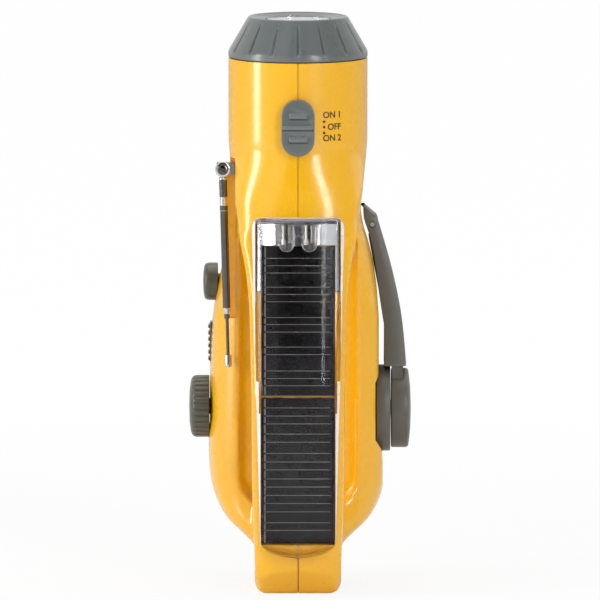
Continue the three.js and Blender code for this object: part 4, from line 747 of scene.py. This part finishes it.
# Handle front. The cover's outline: its half widths below and above, its low end, corners and bottom arc
COVER_FOOT, COVER_HEAD, COVER_Z, COVER_CORNER, COVER_ARC = 14.1, 17.2, 18.8, 4.5, 6.4
COVER_THICK, COVER_SPAN = 1.2, (-76, 0)


def cover_outline(inset):
    bottom, top, corner = COVER_FOOT - inset, COVER_HEAD - inset, COVER_CORNER - inset
    low, high, bend = COVER_Z + inset, HANDLE_TOP - inset, COVER_Z + inset + 2.2
    arc = curve_points((-bottom, low), (0, low - COVER_ARC), (bottom, low), 16)
    points = [(-bottom, bend)] + curve_points((-bottom, bend), (-bottom, low), arc[1], 5) + arc[2:-3]
    points += curve_points(arc[-3], (bottom, low), (bottom, bend), 5)
    points += [(top, high - corner)] + curve_points((top, high - corner), (top, high), (top - corner, high), 8)
    points += [(corner - top, high)]
    return points + curve_points((corner - top, high), (-top, high), (-top, high - corner), 8)


def cover_half(z):
    return lerp(COVER_FOOT, COVER_HEAD, min(max((z - COVER_Z) / (HANDLE_TOP - COVER_Z), 0), 1))


def crown_solid(inset):
    """Fills the handle's front out to the cover's face, which falls away ever more steeply to its sides."""
    rings = []
    for z in (FOOT_Z, TAIL_Z, JOINT_Z - 6, JOINT_Z, JOINT_Z + 6, HANDLE_TOP, BODY_TOP):
        reach = handle_reach(z) if abs(z - JOINT_Z) > 1 else handle_reach(z) - 0.35
        ring = []
        for step in range(61):
            x = lerp(-20, 20, step / 60)
            share = abs(x) / cover_half(z)
            ring.append((x, min(1.04 * share**2 + 3.66 * share**4, 9) - (reach + 5 - inset), z))
        back = 6.25 - reach
        ring += [(20, back, z), (-20, back, z)]
        rings.append(ring)
    return loft(rings)


def inside_outline(x, z):
    """How far a point of the cover's face lies inside its outline."""
    x, half, corner = abs(x), cover_half(z), COVER_CORNER
    if x > half - corner and z > HANDLE_TOP - corner:
        return corner - hypot(x - half + corner, z - HANDLE_TOP + corner)
    return min(half - x, HANDLE_TOP - z, z - COVER_Z + COVER_ARC / 2 * (1 - (x / COVER_FOOT) ** 2))


def clear_cover():
    outer, inner = [common(slab(cover_outline(inset), *COVER_SPAN), crown_solid(inset))
                    for inset in (0, COVER_THICK)]
    round_edges(outer, 0.8, 3, 28)
    join(outer, block((-1.1, -34.3, 14.9), (1.1, -28, 17)))
    cut(outer, inner, handle_solid(GAP, 40, 64))
    return outer


cover = piece(clear_cover(), "clear_cover", COVER, "panel_cover", angle=30)
cover.data.materials.append(COVER_WALL_REFLECTION)
cover.data.materials.append(COVER_EDGE_HIGHLIGHT)
# The walls and the floor of the bottom arc get the wall's painted reflection, and the rim round the face the
# edge's painted highlight
for polygon in cover.data.polygons:
    spot, facing = polygon.center / MM - SHIFT, polygon.normal
    if abs(facing.y) < 0.25 or facing.z < -0.6:
        polygon.material_index = 1
    elif -0.02 < inside_outline(spot.x, spot.z) < 0.75 and (spot.z > 19 or facing.z < -0.2):
        polygon.material_index = 2


def solar_panel(matrix, low, high):
    plate = block((-13.5, 1.9, low), (13.5, 3.1, high))
    return turn(round_edges(plate, 0.12, 2), matrix)


def panel_lines(matrix, places, low, high):
    """Printed contact lines across the cells, and the broken contact bar down their left edge."""
    spans = [((-11.9, 1.83, z - 0.1), (11.9, 1.93, z + 0.1)) for z in places]
    rows = sorted(places + [low, high])
    for start, end in zip(rows, rows[1:]):
        spans.append(((-12.5, 1.84, start + 0.35), (-11.95, 1.93, end - 0.35)))
    return turn(boxes(spans), matrix)


UPPER_LINES = [4.4, 7.1, 9.9, 16.0, 18.8, 24.4, 27.2, 29.8, 35.7, 38.4, 41.1, 46.4, 49.1, 51.9]
LOWER_LINES = [-51.3, -48.4, -44.2, -41.0, -37.9, -34.7, -31.6, -28.1, -25.1, -21.8, -17.5, -14.4, -10.5,
               -7.5, -4.4]
for name, matrix, low, high, lines, node in (
        ("top", UPPER, 0.7, UPPER_LENGTH, UPPER_LINES, "solar_panel_upper"),
        ("low", LOWER, -LOWER_LENGTH, -0.7, LOWER_LINES, "solar_panel_lower")):
    piece(solar_panel(matrix, low, high), "solar_cells_" + name, SOLAR, node)
    piece(panel_lines(matrix, lines, low, high), "contact_lines_" + name, CONTACT)


def lamp_tray():
    """Its back is bowed, so that its sides catch the lights, and its rails reach down beside the cells."""
    low, half = TRAY_START - 2 * RAIL_LENGTH, 14.3
    tray = on_stretch(UPPER, (-15.1, -0.8, TRAY_START - RAIL_LENGTH), (15.1, 3.1, TRAY_START + TRAY_LENGTH))
    common(tray, slab(cover_outline(1.5), *COVER_SPAN), crown_solid(1.6))
    bow = [(x, 2.6 - 2.4 * abs(x / half) ** 2.6) for x in [half * n / 16 for n in range(-16, 17)]]
    rings = [[(x, y, z) for x, y in bow + [(half, -10), (-half, -10)]] for z in (low, TRAY_START + TRAY_INNER)]
    return cut(tray, turn(loft(rings), UPPER),
               on_stretch(UPPER, (-PANEL_SEAT, -10, low), (PANEL_SEAT, 5, TRAY_START)))


# Signal lamps, which hang from the tray's upper end: radius, top, and the middle of the dome at their tip
SIGNAL_R, SIGNAL_TOP = 2.6, TRAY_START + TRAY_INNER - GAP
SIGNAL_DOME = SIGNAL_TOP - 7.2


def signal_lamp():
    bends = [a * pi / 24 for a in range(1, 12)]
    dome = [(SIGNAL_R * sin(bend), SIGNAL_DOME - SIGNAL_R * cos(bend)) for bend in bends]
    collar = SIGNAL_TOP - 0.8
    return lathe([(0, SIGNAL_TOP - 9.8)] + dome + [
        (SIGNAL_R, SIGNAL_DOME), (SIGNAL_R, collar), (3.0, collar), (3.0, SIGNAL_TOP), (0, SIGNAL_TOP)], 40)


def lead_frame():
    """Two wide pads, each on a thinner lead: (left, right, half thickness, from the top, to the top)."""
    spans = ((-1.5, -0.2, 0.35, 7.4, 5.6), (-1.1, -0.6, 0.25, 5.8, 0.2),
             (0.3, 1.3, 0.35, 6.8, 5.6), (0.6, 1.1, 0.25, 5.8, 0.2))
    return boxes([((x0, -half, SIGNAL_TOP - low), (x1, half, SIGNAL_TOP - high))
                  for x0, x1, half, low, high in spans])


def lamp_highlight_hoop():
    """A thin bright hoop round a lamp's tip: a painted highlight that stands for the bright edge of the clear
    dome.
    """
    rings = []
    for step in range(25):
        angle = pi * (1 + step / 24)
        ring = []
        for n in range(10):
            a = pi * n / 5
            reach = 2.72 + 0.24 * cos(a)
            ring.append((reach * cos(angle), 0.24 * sin(a), SIGNAL_DOME + reach * sin(angle)))
        rings.append(ring)
    return loft(rings)


piece(lamp_tray(), "silver_tray", SILVERED, "lamp_tray")
for side, name in ((-4.25, "left"), (4.25, "right")):
    place, before = [UPPER @ shifted(side, y, 0) for y in (-0.6, -1.1)]
    piece(turn(signal_lamp(), place), "signal_lamp_dome_" + name, LAMP, "signal_lamp_" + name)
    piece(turn(lead_frame(), place), "signal_lamp_frame_" + name, STEEL)
    # Bright hoop in front of each dome's lower edge, a painted highlight
    piece(turn(lamp_highlight_hoop(), before), "signal_lamp_highlight_hoop_" + name, SILVERED)


# Left flank
def knob(outer, radius, inner, stem, flutes, z, dome):
    """outer, inner and stem are how far the knob's face, back and stem reach to the left of the axis."""
    edge = radius * 0.08
    profile = [(0, -outer), (radius * 0.5, -outer + dome * 0.15), (radius - 2.2 * edge, -outer + dome * 0.6),
               (radius - edge, dome - outer), (radius - 0.3 * edge, dome + 0.7 - outer),
               (radius, dome + 1.6 - outer), (radius, -inner - 0.3), (radius - 0.3, -inner),
               (3, -inner), (3, -stem), (0, -stem)]
    body = lathe(profile, max(96, flutes * 12), "x")
    if flutes:
        mesh = body.data
        for vertex in mesh.vertices:
            x, y, h = vertex.co / MM - SHIFT
            r = hypot(y, h)
            if r > radius - 2.5 * edge and x < -inner - 0.1:
                wave = 0.5 + 0.5 * cos(flutes * atan2(h, y))
                depth = 0.42 * wave**3 * min(1, max(0, (x + outer - dome) / 1.2))
                vertex.co.y *= (r - depth) / r
                vertex.co.z *= (r - depth) / r
    return turn(body, shifted(0, CRANK_Y, z))


for name, values in (("tuning", (41.1, 11.7, 33.5, 28.6, 30, TUNING_Z, 1.1)),
                     ("volume", (35.8, 7.1, 30.2, 24.5, 0, VOLUME_Z, 0.8))):
    piece(knob(*values), name + "_knob_cap", KNOB, name + "_knob", name, angle=40)


def band_button():
    button = round_edges(block((-33.2, -3, -7.8), (-31.7, 3, 7.8)), 0.3, 2)
    ribs = [bar("y", 0.78, -2.9, 2.9, -33.12, (n - 2.5) * 2.44, 20) for n in range(6)]
    join(button, *ribs, block((-31.9, -1.2, -2.4), (-26.3, 1.2, 2.4)))
    return turn(button, shifted(0, CRANK_Y, BAND_Z))


piece(band_button(), "band_slide", KNOB, "band_switch_button", "band_switch", angle=30)


# Antenna
MAST = shifted(PIVOT_X, PIVOT_Y, PIVOT_Z) @ Matrix.Rotation(radians(-1.6), 4, "Y")


def mast_piece(obj, name, body, node, material=CHROME):
    """A piece drawn with its pivot at the origin and the mast hanging straight down."""
    return piece(turn(obj, MAST), name, material, node, body)


eye = round_edges(bar("y", 2.8, -1.5, 1.5, 0, 0, 48), 0.3, 2)
join(eye, lathe([(0, -3.7), (1.5, -3.7), (1.5, -3.1), (1.2, -2.9), (1.2, -1.2), (0, -1.2)], 32))
cut(eye, bar("y", 1.4, -3, 3, 0, 0, 32))
mast_piece(eye, "antenna_eye", "mast", "antenna_swivel", BRIGHT)

# The outer tube, with its bright bands and lower collar
tube = [(1.25, -54.5), (1.35, -54.5), (1.5, -54.2), (1.5, -53.2), (1.3, -53.0), (1.3, -52.4), (1.45, -52.2),
        (1.45, -15.6), (1.5, -15.4), (1.5, -13.6), (1.35, -13.4), (1.35, -12.8), (1.5, -12.6), (1.5, -11.2),
        (1.35, -11.0), (1.35, -10.5), (1.5, -10.3), (1.5, -4.0), (1.25, -4.0)]
outer_tube = mast_piece(lathe(tube, 40, closed=True), "antenna_tube_outer", "mast", "antenna_outer_tube")
outer_tube.data.materials.append(BRIGHT)
for polygon in outer_tube.data.polygons:
    below = PIVOT_Z - polygon.center.z / MM
    if 10 < below < 13.7 or 15.3 < below < 15.7 or below > 51.9:
        polygon.material_index = 1
sleeve = [(0.8, -56.3), (0.95, -56.3), (1.05, -56.1), (1.05, -10.3), (0.8, -10.3)]
mast_piece(lathe(sleeve, 32, closed=True), "antenna_tube_middle", "mast_sleeve", "antenna_sleeve")
rod = [(0, -70.3), (0.6, -70.3), (0.6, -13.3), (0, -13.3)]
mast_piece(lathe(rod, 24), "antenna_tube_inner", "mast_rod", "antenna_rod")
tip = [(0, -74.6), (1, -74.6), (1.3, -74.3), (1.3, -70.3), (1.1, -70), (0.9, -70), (0.9, -70.6), (0, -70.6)]
mast_piece(lathe(tip, 32), "antenna_tip_cap", "mast_rod", "antenna_tip", BRIGHT)
screw = lathe([(0, -11.1), (1.2, -11.15), (1.8, -10.9), (2.0, -10.4), (1.1, -10.4), (1.1, -3.6), (0, -3.6)],
              40, "y", (PIVOT_X, 0, PIVOT_Z))
cut(screw, turn(block((-3, -12, -0.25), (3, -10.75, 0.25)),
                shifted(PIVOT_X, 0, PIVOT_Z) @ Matrix.Rotation(0.7, 4, "Y")))
piece(screw, "antenna_pivot_screw", CHROME, "antenna_screw")


# Crank, drawn with its hub at the origin. GRIP_REACH is where the grip's hinge lies on the arm
HUB = shifted(0, CRANK_Y, CRANK_Z)
GRIP_REACH = 70.2


def arm_ring(reach, inner, outer, half):
    """Section of the arm: wide soft corners on the outer face, and small ones on the inner."""
    c, d, e, f = 1.3, 0.35, 0.45, 0.13
    side = [(outer, half - c), (outer - d, half - d), (outer - c, half),
            (inner + e, half), (inner + f, half - f), (inner, half - e)]
    far = [(outer - c, -half), (outer - d, d - half), (outer, c - half)]
    back = [(inner, e - half), (inner + f, f - half), (inner + e, -half)]
    return [(x, y, reach) for x, y in far + [(outer + 0.12, 0)] + side + [(inner, 0)] + back]


def crank_arm():
    """A curved, tapering arm on a round drum, with the slot that the folded grip lies in."""
    start, rings = 16.9, []
    for step in range(61):
        reach = lerp(start, ARM_REACH, step / 60)
        share = reach / ARM_REACH
        tip = max(0, reach - ARM_REACH + 4.2)
        rings.append(arm_ring(reach, lerp(*ARM_IN, share_at(ARM_INNER, share)),
                              lerp(*ARM_OUT, share_at(ARM_OUTER, share)) - tip, lerp(11, 6.2, share) - tip / 2))
    arm = loft(rings)
    root = block((35.4, -8.8, 0), (39.6, 8.8, 18.9))
    drum = lathe([(0, 35.1), (14.45, 35.1), (14.8, 35.2), (15, 35.6), (15, 40.5), (14.8, 41.2),
                  (14.3, 41.6), (13.8, 41.7), (0, 41.7)], 96, "x")
    join(arm, root, drum)
    # Seats of the cap, shaft and screw, the screw's hole, the grip's slot and its pin's hole
    cut(arm, bar("x", 13.7, 40.6, 44, 0, 0, 96), bar("x", SHAFT_HOLE, 33, 37.5, 0, 0, 32),
        bar("x", 3.5, 38.4, 41.7, 0, 0, 32), bar("x", 1.6, 35, 41.7, 0, 0, 20),
        block((0, -3.7, 39), (81, 3.7, 73.6)), bar("y", 1.2, -12, 12, 28, GRIP_REACH, 24))
    return turn(arm, HUB)


piece(crank_arm(), "crank_lever", CRANK, "crank_arm", "crank", angle=28)
cap = lathe([(0, 40.9), (13.4, 40.9), (13.4, 41.5), (13.1, 41.8), (8, 42.35), (0, 42.6)], 96, "x")
piece(turn(cap, HUB), "crank_hub_cap", CRANK, "crank_cap", "crank")
flange = lathe([(SHAFT_HOLE, 29.4), (15.2, 29.4), (16.0, 29.7), (16.3, 30.4), (16.3, 34.3),
                (16.0, 34.8), (SHAFT_HOLE, 34.8)], 96, "x", closed=True)
piece(turn(flange, HUB), "crank_base_ring", CRANK, "crank_flange", "crank")
GRIP = HUB @ shifted(28, 0, GRIP_REACH) @ Matrix.Rotation(radians(-12.4), 4, "Y")
grip = lathe([(1.45, -25.6), (2.7, -25.6), (3.0, -25.3), (3.1, -24.7), (2.95, -20), (2.7, -12), (2.5, -5),
              (2.4, -4.0), (2.2, -3.6), (1.45, -3.6)], 48, closed=True)
piece(turn(grip, GRIP), "crank_roller", CRANK, "crank_grip", "grip")


# Housing screws with crossed slots
for number, (y, z) in enumerate(SCREWS, 1):
    screw = lathe([(0, -8.6), (1.4, -8.75), (2.2, -8.4), (2.6, -7.6), (2.6, -7.3), (1.3, -7.3),
                   (1.3, 5), (0, 5)], 40, "x", (0, y, z))
    cut(screw, *[block((-9, y - a, z - b), (-7.9, y + a, z + b)) for a, b in ((0.3, 1.5), (1.5, 0.3))])
    piece(screw, "case_screw_%d" % number, STEEL, "housing_screw_%d" % number)


# Loudspeaker grille
def grille():
    """A disc of the body's own wall with seven slots."""
    disc = cut(body_solid(0, 90, 128), body_solid(WALL, 60, 96))
    common(disc, bar("y", GRILLE_R, 21, 46, 0, SPEAKER_Z, 96))
    for row in range(7):
        offset = (row - 3) * 4.2
        half = sqrt((GRILLE_R - 1.9) ** 2 - offset**2) - 0.95
        cut(disc, block((-half, 20, SPEAKER_Z + offset - 0.95), (half, 46, SPEAKER_Z + offset + 0.95)))
    return disc


piece(grille(), "belly_grille", CRANK, "speaker_grille", angle=40)

# The inner CAD pieces, which stay as they are
INNER = {
    RUBBER: "lens_seal", BOARD: "lamp_board radio_board", FERRITE: "ferrite_rod",
    BLACK: "light_switch_body volume_potentiometer band_switch_body ferrite_holder battery_tray gear_plate",
    CREAM: "tuning_capacitor drive_gear transfer_gear", BRASS: "crank_bush", COPPER: "generator_coil",
    SLEEVE: "battery_cell_1 battery_cell_2 battery_cell_3",
    STEEL: "speaker antenna_bracket crank_shaft crank_screw grip_pin grip_spindle transfer_axle "
           "generator_can generator_rotor",
}
for material, names in INNER.items():
    for name in names.split():
        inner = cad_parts[name].data.materials
        inner.clear()
        inner.append(material)


# Printing by the light switch
def on_head(x, z, lift):
    """A point of the head's round face, x along its girth from the front."""
    angle, r = x / HEAD_R, HEAD_R + lift
    return r * sin(angle), -r * cos(angle), z


def wrap_text(text, x, z, size):
    curve = bpy.data.curves.new("label", "FONT")
    curve.body = text
    curve.size = size
    curve.extrude = 0.03
    curve.offset = 0.06
    curve.resolution_u = 4
    source = add("label", curve)
    bpy.context.view_layer.update()
    mesh = bpy.data.meshes.new_from_object(source.evaluated_get(bpy.context.evaluated_depsgraph_get()))
    discard(source)
    for vertex in mesh.vertices:
        a, b, lift = vertex.co
        vertex.co = (Vector(on_head(x + a, z + b, lift + 0.03)) + SHIFT) * MM
    return add("label", mesh)


def dot(x, z, radius):
    verts = [on_head(x + a, z + b, lift) for lift in (0.0, 0.06) for a, b in circle(radius, 20)]
    return mesh_object(verts, ring_faces(2, 20))


LABELS = (("ON 1", 9.5, SWITCH_Z + 3.4), ("OFF", 11.4, SWITCH_Z - 1.1), ("ON 2", 9.5, SWITCH_Z - 5.3))
for number, (text, x, z) in enumerate(LABELS, 1):
    piece(wrap_text(text, x, z, 3.3), "switch_label_%d" % number, INK)
for number, z in enumerate((SWITCH_Z + 2, SWITCH_Z, SWITCH_Z - 2.2), 1):
    piece(dot(10.0, z, 0.5), "switch_dot_%d" % number, INK)


# Stage, light and camera
def stage():
    """A white floor, in metres, that glows for the camera and takes the shadow near the torch."""
    half = 4.0
    mesh = bpy.data.meshes.new("floor")
    corners = [(-half, -half, 0), (half, -half, 0), (half, half, 0), (-half, half, 0)]
    mesh.from_pydata(corners, [], [(0, 1, 2, 3)])
    floor = add("floor", mesh)
    look = Look("floor_paper", Roughness=0.9)
    tones = [(0.3, (0.86, 0.86, 0.86, 1)), (0.7, (0.9, 0.9, 0.9, 1))]
    look.wire(look.ramp(look.noise(3, 2), tones), "Base Color")
    rays = look.node("LightPath")
    tree = look.tree
    seen = math_node(tree, "MAXIMUM", rays.outputs["Is Camera Ray"], rays.outputs["Is Transmission Ray"])
    away = look.node("VectorMath", Vector=look.place)
    away.operation = "LENGTH"
    share = math_node(tree, "MULTIPLY", seen, look.span(away.outputs["Value"], 0.88, 0.99, 0.2, 0.5))
    glow = look.node("Emission", Strength=1.0)
    mix_shaders(tree, share, look.shader, glow, "Material Output")
    mesh.materials.append(look.mat)


def aim(obj, place, height):
    """Puts a light or the camera at a place, looking at a height on the axis."""
    obj.location = place
    obj.rotation_euler = (Vector((0, 0, height)) - Vector(place)).to_track_quat("-Z", "Y").to_euler()


def area_light(name, place, height, width, length, power):
    data = bpy.data.lights.new(name, "AREA")
    data.energy = power
    data.shape = "RECTANGLE"
    data.size, data.size_y = width, length
    aim(add(name, data), place, height)


stage()
area_light("key", (-1.32, -0.44, 0.42), 0.12, 0.32, 1.0, 10.5)
area_light("fill", (0.7, -1.27, 0.62), 0.12, 0.28, 0.9, 8.5)
area_light("top", (0, 0.1, 1.4), 0.1, 1.2, 1.2, 8)


def studio_world():
    """Studio walls: white for the camera and behind the torch, darker in front of it."""
    world = bpy.data.worlds.new("studio")
    bpy.context.scene.world = world
    world.use_nodes = True
    tree = world.node_tree
    place = add_node(tree, "TexCoord").outputs["Generated"]
    parts = add_node(tree, "SeparateXYZ", Vector=place).outputs
    rays = add_node(tree, "LightPath").outputs
    angle = math_node(tree, "ARCTAN2", parts["X"], math_node(tree, "MULTIPLY", parts["Y"], -1.0))
    share = add_node(tree, "MapRange", Value=angle, From_Min=-pi, From_Max=pi)
    ramp = add_node(tree, "ValToRGB", Fac=share.outputs["Result"])
    walls = tree.nodes["Background"]
    tree.links.new(ramp.outputs["Color"], walls.inputs["Color"])
    walls.inputs["Strength"].default_value = 0.5
    white = add_node(tree, "Background", Color=(0.98, 0.98, 0.98, 1))
    onward = math_node(tree, "MAXIMUM", rays["Is Glossy Ray"], rays["Is Transmission Ray"])
    behind = math_node(tree, "MULTIPLY", onward, math_node(tree, "GREATER_THAN", parts["Y"], 0.15))
    seen = math_node(tree, "MAXIMUM", rays["Is Camera Ray"], behind)
    mix_shaders(tree, seen, walls, white, "World Output")
    # (degrees from in front of the torch to its right, brightness)
    tones = [(-180, 0.9), (-50, 0.8), (-40, 1.8), (-22, 1.8), (-18, 1.0), (-15.5, 0.08), (-8, 0.04), (7, 0.04),
             (10, 0.22), (17, 0.26), (22, 0.6), (60, 0.8), (180, 0.9)]
    stops = ramp.color_ramp.elements
    while len(stops) < len(tones):
        stops.new(0.5)
    for stop, (degrees, tone) in zip(stops, tones):
        stop.position = (degrees + 180) / 360
        stop.color = (tone, tone, tone, 1)


studio_world()

# The camera's place, the height that it looks at, and the picture's width there, in metres
CAMERA_PLACE, CAMERA_AIM, PICTURE_SPAN, SENSOR = (0, -4.0, 0.58), 0.1083, 0.2256, 36
camera = add("camera", bpy.data.cameras.new("camera"))
aim(camera, CAMERA_PLACE, CAMERA_AIM)
camera.data.sensor_width = SENSOR
camera.data.sensor_height = SENSOR
camera.data.lens = SENSOR * (camera.location - Vector((0, 0, CAMERA_AIM))).length / PICTURE_SPAN
bpy.context.scene.camera = camera
bpy.context.scene.view_settings.view_transform = "Standard"
